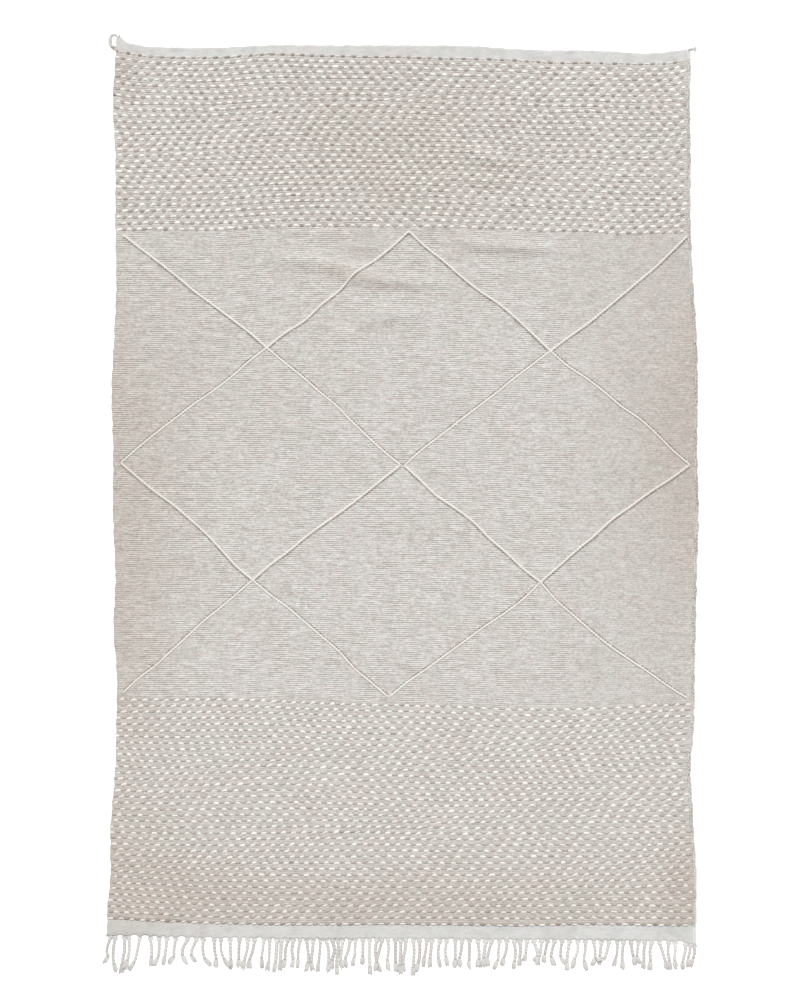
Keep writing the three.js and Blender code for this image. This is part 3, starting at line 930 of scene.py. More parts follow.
PLY_LENGTH = 3.4 * MM
PLIES = 2
WHITE_LIGHT = (0.93, 0.925, 0.88, 1)
WHITE_DARK = (0.76, 0.745, 0.705, 1)
TAUPE_LIGHT = (0.52, 0.48, 0.448, 1)
TAUPE_DARK = (0.31, 0.262, 0.242, 1)
white_yarn = twined_wool("white_yarn", WHITE_LIGHT, WHITE_DARK, 0.16)
taupe_yarn = twined_wool("taupe_yarn", TAUPE_LIGHT, TAUPE_DARK, 0.2)

for name, place_in_cycle, shift_at_edge, yarn in (
    ("white", 0.0, 1.6, white_yarn),
    ("taupe", 0.5, 0.2, taupe_yarn),
):
    points, faces, places, tone = dash_yarn(name, place_in_cycle, shift_at_edge)
    values = {"tone": tone, "zone": tone_zone(points[:, 0], points[:, 1])}
    slot = name + "_wool"
    mesh_piece(name + "_dashes", points, faces, yarn, values, places)

# Raised lines
# Each lattice line is a white wool cord that is laid on the cloth and wrapped in pick by pick, with
# short floats of taupe yarn showing beside it where the wraps turn back.
CORNERS = {
    "far_left": (-731, 708),
    "far_middle_left": (21, 718),
    "far_middle_right": (17, 718),
    "far_right": (750, 705),
    "upper_cross_left": (-353, 411),
    "upper_cross_right": (390, 402),
    "waist_left": (-735, 109),
    "waist_middle_left": (-2.5, 103),
    "waist_middle_right": (7.5, 102),
    "waist_right": (755, 104),
    "lower_cross_left": (-390, -198),
    "lower_cross_right": (364, -203),
    "near_left": (-731, -495),
    "near_middle": (-33, -506),
    "near_right": (750, -508),
}

# Each line: the side of it on which the taupe floats lie, its corners, and how far each leg between
# them bows to the right of its way at each eighth of its length
ZIGZAGS = [
    (-1, ["far_left", "upper_cross_left", "waist_left", "lower_cross_left", "near_left"], [
        (0, -1, -1, 1, -1, -2, -3),
        (0, -3, -2, 2, 3, 4, 3),
        (-1, -3, -9, -10, -10, -5, 1),
        (0, 1, 3, 1, 0, -2, 2),
    ]),
    (1, ["far_middle_left", "upper_cross_left", "waist_middle_left", "lower_cross_left",
         "near_middle"], [
        (-4, -3, 4, -5, -4, -8, -1),
        (-1, -4, -4, -6, -2, 1, 2),
        (0, -1, -1, 2, 4, 2, 3),
        (-1, -6, -6, -6, -6, 1, 0),
    ]),
    (-1, ["far_middle_right", "upper_cross_right", "waist_middle_right", "lower_cross_right",
          "near_middle"], [
        (3, 1, 2, 0, -7, -7, -4),
        (1, 2, 1, 2, 3, 3, 4),
        (2, 5, -2, -5, 0, 0, 3),
        (-8, -8, -4, -3, -1, 0, 3),
    ]),
    (1, ["far_right", "upper_cross_right", "waist_right", "lower_cross_right", "near_right"], [
        (-5, -9, -9, -9, -9, -8, -3),
        (2, -4, -6, -5, -10, -7, -1),
        (2, 8, 10, 13, 8, 7, 3),
        (12, 15, 18, 19, 15, 10, 7),
    ]),
]
CORD_STEP = 2.5 * MM
CORD_HALF_WIDTH = 2.95 * MM
CORD_HALF_HEIGHT = 1.9 * MM
CORD_LIES = 4.2 * MM
CORD_TWIST = 15.8 * MM
CORD_SIDES = 8
CORD_LOBES = 0.12
CORD_SWELLS = 0.2
CORD_UNEVEN = 0.06
CORD_TONE = (-3.2, 0.4)
CORD_SEED = 40
END_STEPS = 3
END_GIRTH = 0.3
POINTS_TO_A_LEG = 400
CORNER_ROUNDING = 3
WRAP_STEP = 7.9 * MM
WRAPS_FROM_END = 4
WRAP_LENGTH = 9.2 * MM
WRAP_LENGTH_SPREAD = 0.2
WRAP_HALF_WIDTH = 1.9 * MM
WRAP_HALF_HEIGHT = 1.1 * MM
WRAP_BESIDE = 4.25 * MM
WRAP_STRAYS = 0.25 * MM
WRAP_LEANS = np.array([0.75, 0])
WRAP_LIES = 3.4 * MM
WRAP_CROWN = 0.9 * MM
WRAP_TONE = -0.6
LINE_ZONE = 0.5


def length_along(route):
    """How far each point of a route lies along it."""
    return np.concatenate([[0], np.cumsum(np.linalg.norm(np.diff(route, axis=0), axis=1))])


def unit(ways):
    """Ways of length one, one to a row."""
    return ways / np.linalg.norm(ways, axis=1, keepdims=True)


def line_route(names, bows):
    """The route of one line, in equal steps: each leg is a smooth curve through its two corners and
    its bows, and the corners are rounded by taking the mean of neighbouring points."""
    legs = []
    for begin, finish, bow in zip(names[:-1], names[1:], bows):
        begin, finish = np.array(CORNERS[begin]) * MM, np.array(CORNERS[finish]) * MM
        way = (finish - begin) / np.linalg.norm(finish - begin)
        sideways = np.array([0, *bow, 0])[:, None] * MM * np.array([way[1], -way[0]])
        shares = np.linspace(0, 1, len(bow) + 2)
        through = begin + shares[:, None] * (finish - begin) + sideways
        legs.append(smooth(shares, through, np.linspace(0, 1, POINTS_TO_A_LEG)))
    route = np.concatenate(legs)
    length = length_along(route)
    steps = np.arange(0, length[-1], CORD_STEP)
    route = np.stack([np.interp(steps, length, route[:, axis]) for axis in (0, 1)], axis=-1)
    held = np.pad(route, ((CORNER_ROUNDING // 2,) * 2, (0, 0)), mode="edge")
    return np.stack([held[i : i + len(route)] for i in range(CORNER_ROUNDING)]).mean(0)


def joined(parts):
    """Points, faces, places and values of several lots of tubes as one lot."""
    points, lots, places, values = zip(*parts)
    starts = np.cumsum([0] + [len(part) for part in points])
    faces = [part + start for lot, start in zip(lots, starts) for part in lot]
    return np.concatenate(points), faces, np.concatenate(places), np.concatenate(values)


def line_cord(route, loose):
    """The white cord of one line, with its tone. It swells by turns and thins at its ends."""
    steps = np.arange(len(route))
    wrapped = 1 + CORD_SWELLS * np.cos(2 * np.pi * (steps * CORD_STEP) / WRAP_STEP)
    wrapped = wrapped + CORD_UNEVEN * loose.normal(0, 1, len(route))
    ends = np.minimum(1, np.minimum(steps, steps[::-1]) / END_STEPS + END_GIRTH)
    high = lift(route[:, 0], route[:, 1]) + CORD_LIES * (0.6 + 0.4 * ends)
    path = np.column_stack([route, high])[None]
    twist = 2 * np.pi * (steps * CORD_STEP) / CORD_TWIST
    wide, high = CORD_HALF_WIDTH * wrapped * ends, CORD_HALF_HEIGHT * wrapped * ends
    tube = tubes(path, wide, high, CORD_SIDES, CORD_LOBES, twist)
    return *tube, loose.normal(*CORD_TONE, len(tube[0]))


def line_wraps(route, taupe_side, loose):
    """The taupe floats beside one line, with their tone. They lie between the way of the line and
    that of the wefts, and each rises like a dash."""
    end = len(route) - WRAPS_FROM_END
    every = np.arange(WRAPS_FROM_END, end, WRAP_STEP / CORD_STEP).astype(int)
    count = len(every)
    way = unit(route[every + 1] - route[every - 1])
    across = np.stack([way[:, 1], -way[:, 0]], axis=1)
    across = across * (np.sign(across[:, :1]) * taupe_side)
    middle = route[every] + across * (WRAP_BESIDE + WRAP_STRAYS * loose.normal(0, 1, (count, 1)))
    lies = unit(way + WRAP_LEANS * np.sign(way[:, :1]))
    reach = WRAP_LENGTH / 2 * loose.normal(1, WRAP_LENGTH_SPREAD, (count, 1, 1))
    path = middle[:, None] + lies[:, None] * DASH_STATIONS[:, None] * reach
    rise = WRAP_CROWN * np.cos(np.pi / 2 * DASH_STATIONS)
    rise = lift(path[..., 0], path[..., 1]) + WRAP_LIES + rise
    path = np.concatenate([path, rise[..., None]], axis=-1)
    tube = tubes(path, WRAP_HALF_WIDTH * DASH_GIRTH, WRAP_HALF_HEIGHT * DASH_GIRTH, DASH_SIDES)
    return *tube, np.repeat(loose.normal(WRAP_TONE, 1, count), len(tube[0]) // count)


cords, wraps = [], []
for number, (taupe_side, names, bows) in enumerate(ZIGZAGS):
    route = line_route(names, bows)
    loose = np.random.default_rng(CORD_SEED + number)
    cords.append(line_cord(route, loose))
    wraps.append(line_wraps(route, taupe_side, loose))

for name, parts, yarn, slot in (
    ("raised_lines", cords, white_yarn, "white_wool"),
    ("taupe_wraps", wraps, taupe_yarn, "taupe_wool"),
):
    points, faces, places, tone = joined(parts)
    values = {"tone": tone, "zone": LINE_ZONE * tone_zone(points[:, 0], points[:, 1])}
    mesh_piece(name, points, faces, yarn, values, places)

# Selvedges
# Along each side the wefts turn round bundles of cotton warps, one on the left and two on the
# right. The wool covers them unevenly, so the cotton shows as pale specks, and past the wool it
# runs on bare along the end webs.

# Each cord: the side, how far it lies in from the edge, its half-width, its half-height, how much
# cotton shows, and how bare it runs near the end with the fringe
SELVEDGE_CORDS = [
    (0, 1.3, 1.3, 2.1, 0.1, 0.0),
    (1, 2.4, 2.6, 2.5, 0.9, 0.9),
    (1, 7.4, 2.4, 2.9, 1.0, 0.0),
]
SELVEDGE_SIDES = 7
SELVEDGE_SWELLS = 0.13
SELVEDGE_UNEVEN = 0.06
SELVEDGE_FLATTENS = 0.98
HALF_PICK = 0.5
INSIDE_WEB = 1.5 * MM
PAST_WOOL = 2 * MM
BARE_FROM = -820 * MM
BARE_OVER = 90 * MM
BARE_HEIGHT = 1.5 * MM
BARE_WIDTH = 0.8
BARE_STEPS = 14
BARE_STAYS_PALE = 1.1
SEEN_FROM_ABOVE = (1, 1, 0)


def selvedge_wool():
    """Wool wraps and bare cotton, pick by pick: noise along the cord shows one or the other."""
    made = fibre_material("selvedge_wool", roughness=0.93, sheen=0.12)
    material, tree, shader, spot, fibre = made
    tone = plus(tree, times(tree, attribute(tree, "tone"), 0.22), 0.45)
    tone = plus(tree, tone, times(tree, fibre["Fleck"], 0.2))
    wool = mix(tree, tone, CREAM_DARK, CREAM_LIGHT)
    knots = noise(tree, spot, grains=240, detail=2, stretch=SEEN_FROM_ABOVE)
    knots = times(tree, spread(tree, knots, 0.45, 0.54), attribute(tree, "shows"))
    wool = mix(tree, knots, wool, KNOT_DARK)
    runs = noise(tree, spot, grains=14, detail=2, stretch=SEEN_FROM_ABOVE)
    specks = noise(tree, spot, grains=210, detail=1, stretch=SEEN_FROM_ABOVE)
    runs, specks = spread(tree, runs, 0.44, 0.6), spread(tree, specks, 0.47, 0.55)
    patches = times(tree, shared_out(tree, runs, specks, 0.5), attribute(tree, "shows"))
    bare = math(tree, "MAXIMUM", attribute(tree, "bare"), patches)
    color_with_zones_and_shade(tree, shader, mix(tree, bare, wool, COTTON_BARE), spot)
    bump(tree, shader, fibre["Fibre"], 0.45 * MM)
    return material


KNOT_DARK = (0.36, 0.3, 0.28, 1)
COTTON_BARE = (0.76, 0.75, 0.73, 1)
COTTON_LIGHT = (0.665, 0.67, 0.66, 1)
COTTON_DARK = (0.51, 0.515, 0.505, 1)


def round_tube(values, sides):
    """A tube's value at each station, given to each point round it and to its two end points."""
    return np.concatenate([np.repeat(values[1:-1], sides), values[[0, -1]]])


parts, bare, shown = [], [], []
for side, inset, width, height, shows, worn in SELVEDGE_CORDS:
    loose = np.random.default_rng(int(10 * inset) + side)
    picks = np.arange(0, LAST_PICK + HALF_PICK, HALF_PICK)
    edge = np.full(len(picks), float(side))
    ys = cloth_y(edge, picks)
    far = smooth(SHARES, ACROSS["far"], edge[:1]) - INSIDE_WEB
    near = smooth(SHARES, ACROSS["near"], edge[:1]) + INSIDE_WEB
    far_end = np.linspace(far, ys[:1] + PAST_WOOL, BARE_STEPS)[:, 0]
    near_end = np.linspace(ys[-1:] - PAST_WOOL, near, BARE_STEPS)[:, 0]
    ys = np.concatenate([far_end, ys, near_end])
    is_bare = np.zeros(len(ys))
    is_bare[: BARE_STEPS - 1] = 1
    is_bare[1 - BARE_STEPS :] = 1
    wrapped = np.ones(len(ys))
    wrapped[BARE_STEPS:-BARE_STEPS] += SELVEDGE_SWELLS * np.cos(2 * np.pi * picks)
    wrapped = wrapped + SELVEDGE_UNEVEN * loose.normal(0, 1, len(ys))
    xs = cloth_x(side, ys) + (inset * MM) * (1 - 2 * side)
    high = np.where(is_bare, BARE_HEIGHT, height * MM)
    path = np.stack([xs, ys, lift(xs, ys) + high], axis=-1)[None]
    wide = width * MM * wrapped * np.where(is_bare, BARE_WIDTH, 1)
    high = SELVEDGE_FLATTENS * high * np.minimum(wrapped, 1)
    tube = tubes(path, wide, high, SELVEDGE_SIDES)
    tone = np.repeat(loose.normal(0, 1, len(ys) // 2 + 1), 2)[: len(ys)]
    parts.append((*tube, round_tube(tone, SELVEDGE_SIDES)))
    is_bare = np.maximum(is_bare, worn * np.clip((BARE_FROM - ys) / BARE_OVER, 0, 1))
    bare.append(round_tube(is_bare, SELVEDGE_SIDES))
    shown.append(np.full(len(bare[-1]), shows))
points, faces, places, tone = joined(parts)
values = {"tone": tone, "bare": np.concatenate(bare), "shows": np.concatenate(shown)}
zone = tone_zone(points[:, 0], points[:, 1])
values["zone"] = zone * (1 - BARE_STAYS_PALE * values["bare"])
wool = selvedge_wool()
mesh_piece("selvedges", points, faces, wool, values, places)

# Cotton webs
# Past the wool, each end of the rug is closed by a narrow plain web of the cotton warp with a thin
# cotton weft, beaten tight. The far one is drawn out to a point at its left corner.
WEB_HEIGHT = 2.0 * MM
WEB_TUCK = 2.6 * MM
WEB_LINES = 10
RIM_HEIGHT = 0.93 * WEB_HEIGHT
WEB_ZONE = 0.9
WARP_PAIR = 3.1 * MM
WEFT_PAIR = 1.5 * MM
FAR_WEB_COLUMNS = 200
PEAK_COLUMNS = 30
PEAK_REACH = 0.03
PEAK_LINE = 1.2

# The ripples of the webs: height, then the length of a radian across and, for the wide ones, along
FINE_RIPPLE = (0.12 * MM, 1.9 * MM)
WIDE_RIPPLE = (0.15 * MM, 13 * MM, 9 * MM)

# Small waves of the far web's edge: size, radians for the rug's width
FAR_EDGE_WAVES = [(0.5 * MM, 190), (0.35 * MM, 471)]

# The far web's edge from its left end over the drawn-out point
PEAK = table("x y", [
    [-747, 1206],
    [-745, 1222],
    [-741, 1226.5],
    [-736.5, 1230],
    [-732, 1221],
    [-722, 1211.5],
])


def web_cotton():
    """Plain cotton web: a fine weave of warps and wefts, with thick and thin places and a few soft
    grey marks."""
    material, tree, shader = new_material("web_cotton", Roughness=0.9, Sheen_Weight=0.08)
    spot = add(tree, "ShaderNodeTexCoord").outputs["Object"]
    part = parts_of(tree, spot)
    warp = math(tree, "SINE", times(tree, part["X"], 2 * np.pi / WARP_PAIR))
    weft = math(tree, "SINE", times(tree, part["Y"], 2 * np.pi / WEFT_PAIR))
    slubs = noise(tree, spot, grains=150, detail=3, stretch=(0.35, 1, 1))
    marks = noise(tree, spot, grains=28, detail=4)
    specks = noise(tree, spot, grains=320, detail=3)
    tone = spread(tree, slubs, 0.3, 0.7, to_low=0, to_high=0.5)
    tone = plus(tree, tone, spread(tree, marks, 0.32, 0.5, to_low=0, to_high=0.4))
    tone = plus(tree, tone, spread(tree, specks, 0.35, 0.65, to_low=-0.15, to_high=0.3))
    color_with_zones_and_shade(tree, shader, mix(tree, tone, COTTON_DARK, COTTON_LIGHT), spot)
    weave = times(tree, times(tree, warp, weft), 0.3)
    bump(tree, shader, plus(tree, weave, slubs), 0.4 * MM)
    return material


def share_at(x, y):
    """The share of the way across the cloth of a place."""
    left, right = cloth_x(0.0, y), cloth_x(1.0, y)
    return (x - left) / (right - left)


def web(name, shares, inner, outer, material, use):
    """A web between its inner line, tucked under the wool, and its outer line: straight-line shares
    from one to the other, with soft ripples along the warps. Lines run from far to near."""
    part = np.linspace(0, 1, WEB_LINES)[:, None]
    far_line, near_line = (outer, inner) if outer[0] > inner[0] else (inner, outer)
    ys = far_line + (near_line - far_line) * part
    xs = cloth_x(shares + 0 * ys, ys)
    up = lift(xs, ys)
    fine, fine_length = FINE_RIPPLE
    wide, wide_length, slant_length = WIDE_RIPPLE
    ripple = fine * np.sin(xs / fine_length)
    ripple = ripple + wide * np.sin(xs / wide_length + ys / slant_length)
    is_rim = np.minimum(part, 1 - part) == 0
    top = np.where(is_rim, up + RIM_HEIGHT, up + WEB_HEIGHT + ripple)
    points, faces = closed_sheet(xs, ys, top, up, xs.shape[1])
    values = {"zone": use + WEB_ZONE * tone_zone(points[:, 0], points[:, 1])}
    piece = mesh_piece(name, points, faces, material, values)
    return piece, (float(np.ptp(xs[0])), float(np.mean(ys[0] - ys[-1])))


peak_shares = share_at(PEAK["x"], np.full_like(PEAK["x"], PEAK_LINE))
even_shares = np.linspace(0, 1, FAR_WEB_COLUMNS)
far_shares = np.unique(np.append(even_shares, np.linspace(0, PEAK_REACH, PEAK_COLUMNS)))
far_stations = np.append(peak_shares[1:], SHARES[2:])
far_edge = np.interp(far_shares, far_stations, np.append(PEAK["y"][1:], ACROSS["far"][2:]))
calm_edge = smooth(SHARES[2:], ACROSS["far"][2:], far_shares)
far_edge = np.where(far_shares > SHARES[2], calm_edge, far_edge)
for size, radians in FAR_EDGE_WAVES:
    far_edge = far_edge + size * np.sin(far_shares * radians)
wool_far = cloth_y(far_shares, np.zeros_like(far_shares)) - WEB_TUCK
cotton = web_cotton()
far_web, far_flat = web("far_web", far_shares, wool_far, far_edge, cotton, use=0.0)

# Fringe
# The warps hang out of the near web in twisted strands. Each starts as a small funnel that gathers
# its warps, is closed by a tight overhand knot, and opens below it in a frayed tuft. A thin locking
# yarn runs from funnel to funnel along the web's edge.

# Each strand, from left to right: where it lies across the rug at its root, at two lines below it
# and at its tip, how far its tip reaches past the fringe line, and 1 where it lies on its neighbour
STRANDS = table("root middle low tip reach over", [
    [-761, -772, -768, -781, 58, 0], [-749, -755, -755, -747, 79, 0],
    [-726, -726, -730, -734, 84, 0], [-714, -713, -717, -724, 71, 1],
    [-685, -692, -697, -713, 75, 0], [-658, -654, -655, -655, 63, 0],
    [-635, -635, -639, -648, 63, 0], [-614, -618, -621, -626, 60, 0],
    [-591, -596, -597, -612, 58, 0], [-559, -574, -572, -563, 58, 0],
    [-536, -549, -550, -540, 54, 0], [-519, -520, -515, -500, 63, 0],
    [-491, -489, -485, -486, 68, 0], [-473, -472, -464, -451, 66, 1],
    [-449, -448, -447, -448, 71, 0], [-424, -426, -426, -427, 68, 0],
    [-402, -405, -411, -415, 73, 0], [-384, -390, -397, -400, 71, 0],
    [-360, -364, -367, -365, 68, 0], [-345, -346, -347, -351, 76, 0],
    [-326, -328, -329, -335, 79, 0], [-314, -316, -317, -318, 76, 0],
    [-297, -304, -305, -308, 68, 0], [-283, -287, -284, -286, 67, 0],
    [-265, -270, -271, -272, 68, 0], [-249, -245, -244, -250, 76, 1],
    [-231, -233, -236, -234, 76, 0], [-212, -214, -216, -220, 79, 0],
    [-198, -191, -191, -193, 81, 0], [-181, -176, -181, -182, 71, 0],
    [-166, -166, -169, -168, 86, 0], [-153, -157, -159, -156, 71, 0],
    [-134, -140, -147, -145, 67, 0], [-120, -122, -124, -128, 63, 0],
    [-101, -101, -102, -103, 59, 0], [-83, -84, -84, -81, 86, 0],
    [-64, -69, -66, -56, 77, 0], [-50, -58, -64, -69, 76, 1],
    [-35, -34, -37, -34, 76, 0], [-16, -16, -16, -12, 79, 0],
    [-2, -2, -4, -1, 84, 0], [12, 9, 5, 8, 81, 0],
    [31, 33, 32, 30, 88, 0], [47, 48, 46, 38, 79, 0],
    [67, 63, 59, 58, 66, 0], [80, 77, 75, 73, 68, 0],
    [101, 96, 97, 102, 68, 0], [119, 115, 117, 121, 64, 0],
    [141, 141, 141, 138, 68, 0], [159, 156, 152, 152, 66, 0],
    [178, 178, 177, 177, 71, 0], [200, 203, 203, 199, 67, 0],
    [221, 217, 215, 215, 67, 0], [237, 229, 225, 225, 64, 0],
    [257, 254, 253, 242, 71, 0], [276, 274, 267, 263, 64, 0],
    [295, 298, 297, 293, 72, 0], [310, 312, 309, 309, 63, 0],
    [329, 326, 325, 321, 50, 0], [346, 355, 359, 356, 60, 1],
    [367, 364, 359, 345, 51, 0], [383, 377, 373, 372, 56, 0],
    [402, 394, 392, 400, 62, 0], [421, 417, 418, 431, 58, 0],
    [441, 436, 434, 434, 76, 0], [462, 461, 453, 447, 68, 1],
    [482, 481, 478, 486, 75, 0], [503, 507, 507, 500, 63, 0],
    [524, 521, 519, 519, 60, 0], [544, 538, 529, 511, 47, 1],
    [565, 565, 561, 555, 63, 0], [582, 579, 578, 580, 73, 0],
    [601, 604, 609, 613, 62, 0], [621, 618, 618, 626, 58, 0],
    [638, 635, 635, 634, 72, 0], [656, 651, 652, 652, 75, 0],
    [675, 683, 689, 696, 72, 0], [700, 698, 701, 705, 72, 0],
    [717, 717, 715, 719, 71, 0], [744, 743, 738, 736, 72, 0],
    [757, 755, 751, 752, 66, 0], [767, 768, 764, 756, 66, 0],
])
STRAND_MIDDLE = -1168.5 * MM
STRAND_LOW = -1189.5 * MM
FRINGE_LINE = -1145 * MM
STRAND_HALF_WIDTH = 4.1 * MM
STRAND_HALF_HEIGHT = 3.0 * MM
STRAND_WIDTH_SPREAD = 0.06
STRAND_RINGS = 46
STRAND_SIDES = 8
STRAND_TWIST = 19 * MM
STRAND_LOBES = 0.13
STRAND_LIES = 1.14
STRAND_TURNS_START = 6
STRAND_SEED = 77
POINTS_TO_A_ROUTE = 200
ROOT_TUCK = 1.5 * MM
FUNNEL = 6.5 * MM
FUNNEL_WIDENS = 1.0
FUNNEL_FLATTENS = 0.5
KNOT_FROM_TIP = 19 * MM
KNOT_STRAYS = 0.08
KNOT_REACH = 5 * MM
KNOT_WIDENS = 0.25
KNOT_SMOOTHS = 0.7
PAST_KNOT = 3 * MM
CLOSING = 9 * MM
THINNEST = 0.35
OVER_LIFT = 4.2 * MM
OVER_FROM = 0.3
OVER_WITHIN = 0.4

# The frayed locks of a tuft: where on the strand they start, how they spread and how thick they
# are. Their heights above what they lie on are in millimetres.
TUFT_RING = -8
TUFT_REACH = 1.08
TUFT_HALF_WIDTH = 3.3 * MM
TUFT_TONE = (-0.4, 1.4)
TUFT_GROOVE = 0.2
LOCKS_TO_A_TUFT = 7
LOCK_RINGS = 6
LOCK_SIDES = 5
LOCK_SPREAD = np.radians(3)
LOCK_STRAYS = 0.12
LOCK_LENGTHS = (0.8, 1.08)
LOCK_BEND = 0.28
LOCK_BEND_SPREAD = 0.2
LOCK_CLOSES = 0.1
LOCK_LIES = 2.4
LOCK_LIFTS = 0.6
LOCK_GIRTH = np.array([0, 0.9, 1, 1.1, 1.15, 1.05, 0.75, 0])
LOCK_HALF_WIDTH = 2.6 * MM
LOCK_HALF_HEIGHT = 1.7 * MM

# The near web's edge: an arch between each two strands, between roots that begin so far left of
# the middle and take up so much of the width
STATIONS_TO_AN_ARCH = 8
ARCH_SHARE = 0.27
ARCH_ROUNDNESS = 0.7
HIGHEST_ARCH = 7.5 * MM
FUNNEL_DROP = 2.0 * MM
ROOTS_BEGIN = 0.765
ROOTS_WIDTH = 1.53
NEAR_WEB_USE = -0.4

LOCKING_BESIDE = 0.7 * MM
LOCKING_LIES = 2.1 * MM
LOCKING_RADIUS = 0.8 * MM
LOCKING_SIDES = 6
LOCKING_GROOVE = 0.35


def fringe_cotton():
    """Twisted cotton: pale grey, a little darker and pinkish or greenish in the grooves of the
    twist, as painted shade, and where fibre has come loose."""
    made = fibre_material("fringe_cotton", roughness=0.9, sheen=0.1)
    material, tree, shader, spot, fibre = made
    tone = plus(tree, times(tree, attribute(tree, "tone"), 0.12), 0.62)
    tone = plus(tree, tone, times(tree, fibre["Fleck"], 0.2))
    # Painted shade in the grooves of the twist, and an even darkening where a piece asks for it
    tone = math(tree, "SUBTRACT", tone, times(tree, attribute(tree, "groove"), 0.6))
    tint = spread(tree, noise(tree, spot, grains=70, detail=2), 0.4, 0.6)
    deep = mix(tree, tint, GROOVE_PINK, GROOVE_GREEN)
    tree.links.new(mix(tree, tone, deep, FRINGE_LIGHT), shader.inputs["Base Color"])
    bump(tree, shader, fibre["Fibre"], 0.4 * MM)
    return material


FRINGE_LIGHT = (0.71, 0.70, 0.675, 1)
# The darker colours, pinkish or greenish, of the painted groove shade
GROOVE_PINK = (0.5, 0.43, 0.42, 1)
GROOVE_GREEN = (0.47, 0.475, 0.44, 1)


def route_through(corners, count):
    """A smooth route through a few places, in equal steps of the way between them."""
    corners = np.array(corners, float)
    length = length_along(corners)
    return smooth(length, corners, np.linspace(0, length[-1], count))


def locks(begin, heading, reach, spread_angle, count, lift_up, root_width, loose):
    """Paths of frayed locks side by side that fan out from a place. Each is straight, plus a bend
    that grows with the square of the way along it, and sinks a little towards its tip."""
    fan = np.linspace(-1, 1, count) + loose.normal(0, LOCK_STRAYS, count)
    angle = heading + fan * spread_angle
    bend = loose.normal(0, LOCK_BEND_SPREAD, count) - LOCK_CLOSES * fan
    along = np.linspace(0, 1, LOCK_RINGS + 2)
    way = np.stack([np.cos(angle), np.sin(angle)], axis=-1)[:, None]
    side = np.stack([-np.sin(angle), np.cos(angle)], axis=-1)[:, None]
    lengths = (reach * loose.uniform(*LOCK_LENGTHS, count))[:, None, None]
    steps = along[None, :, None]
    beside = root_width * fan[:, None] * np.array([-np.sin(heading), np.cos(heading)])
    bent = LOCK_BEND * bend[:, None, None] * steps**2 * side
    flat = begin + beside[:, None] + lengths * (steps * way + bent)
    up = np.broadcast_to(lift_up + (LOCK_LIES - along) * MM, flat.shape[:2])
    up = up + loose.uniform(0, LOCK_LIFTS, (count, 1)) * MM
    return np.concatenate([flat, up[..., None]], axis=-1)


def lock_tubes(paths, wide, high, tone, groove, loose):
    """Tubes along the paths of locks, each lock with a tone of its own round a mean and spread."""
    tube = tubes(paths, wide, high, LOCK_SIDES)
    tones = np.repeat(loose.normal(*tone, len(paths)), len(tube[0]) // len(paths))
    return *tube, np.stack([tones, np.full(len(tones), groove)], axis=-1)


def grooves(turn, sides):
    """How deep in the grooves of the twist each point of a cord lies, and 0 for its end points. The
    cotton is given painted shade by it.
    """
    groove = (1 - np.cos(2 * (angles_round(sides) - turn[1:-1, None]))) / 2
    return np.append(groove.ravel(), [0, 0])


def cotton_piece(name, parts):
    """A piece of twisted cotton from lots of tubes, each with the tone and groove of its points."""
    points, faces, places, values = joined(parts)
    values = {"tone": values[:, 0], "groove": values[:, 1]}
    return mesh_piece(name, points, faces, cotton_cord, values, places)


def near_line(share):
    """The straight run of the near web's edge, without its arches."""
    return smooth(SHARES, ACROSS["near"], share)


first_shares = np.clip((STRANDS["root"] + ROOTS_BEGIN) / ROOTS_WIDTH, 0, 1)
root_shares = np.clip(share_at(STRANDS["root"], near_line(first_shares)), 0, 1)
stops = np.concatenate([[0], root_shares, [1]])
steps = np.linspace(0, 1, STATIONS_TO_AN_ARCH, endpoint=False)
near_shares = (stops[:-1, None] + np.diff(stops)[:, None] * steps).ravel()
depth = np.minimum(ARCH_SHARE * CLOTH_WIDTH * np.diff(stops), HIGHEST_ARCH)[:, None]
arch = (depth * np.abs(np.sin(np.pi * steps)) ** ARCH_ROUNDNESS).ravel()
near_shares, first = np.unique(np.append(near_shares, 1), return_index=True)
arch = np.append(arch, 0)[first]
near_edge = near_line(near_shares) - FUNNEL_DROP + arch
wool_near = cloth_y(near_shares, np.full_like(near_shares, LAST_PICK)) + WEB_TUCK
near_web, near_flat = web("near_web", near_shares, wool_near, near_edge, cotton, NEAR_WEB_USE)

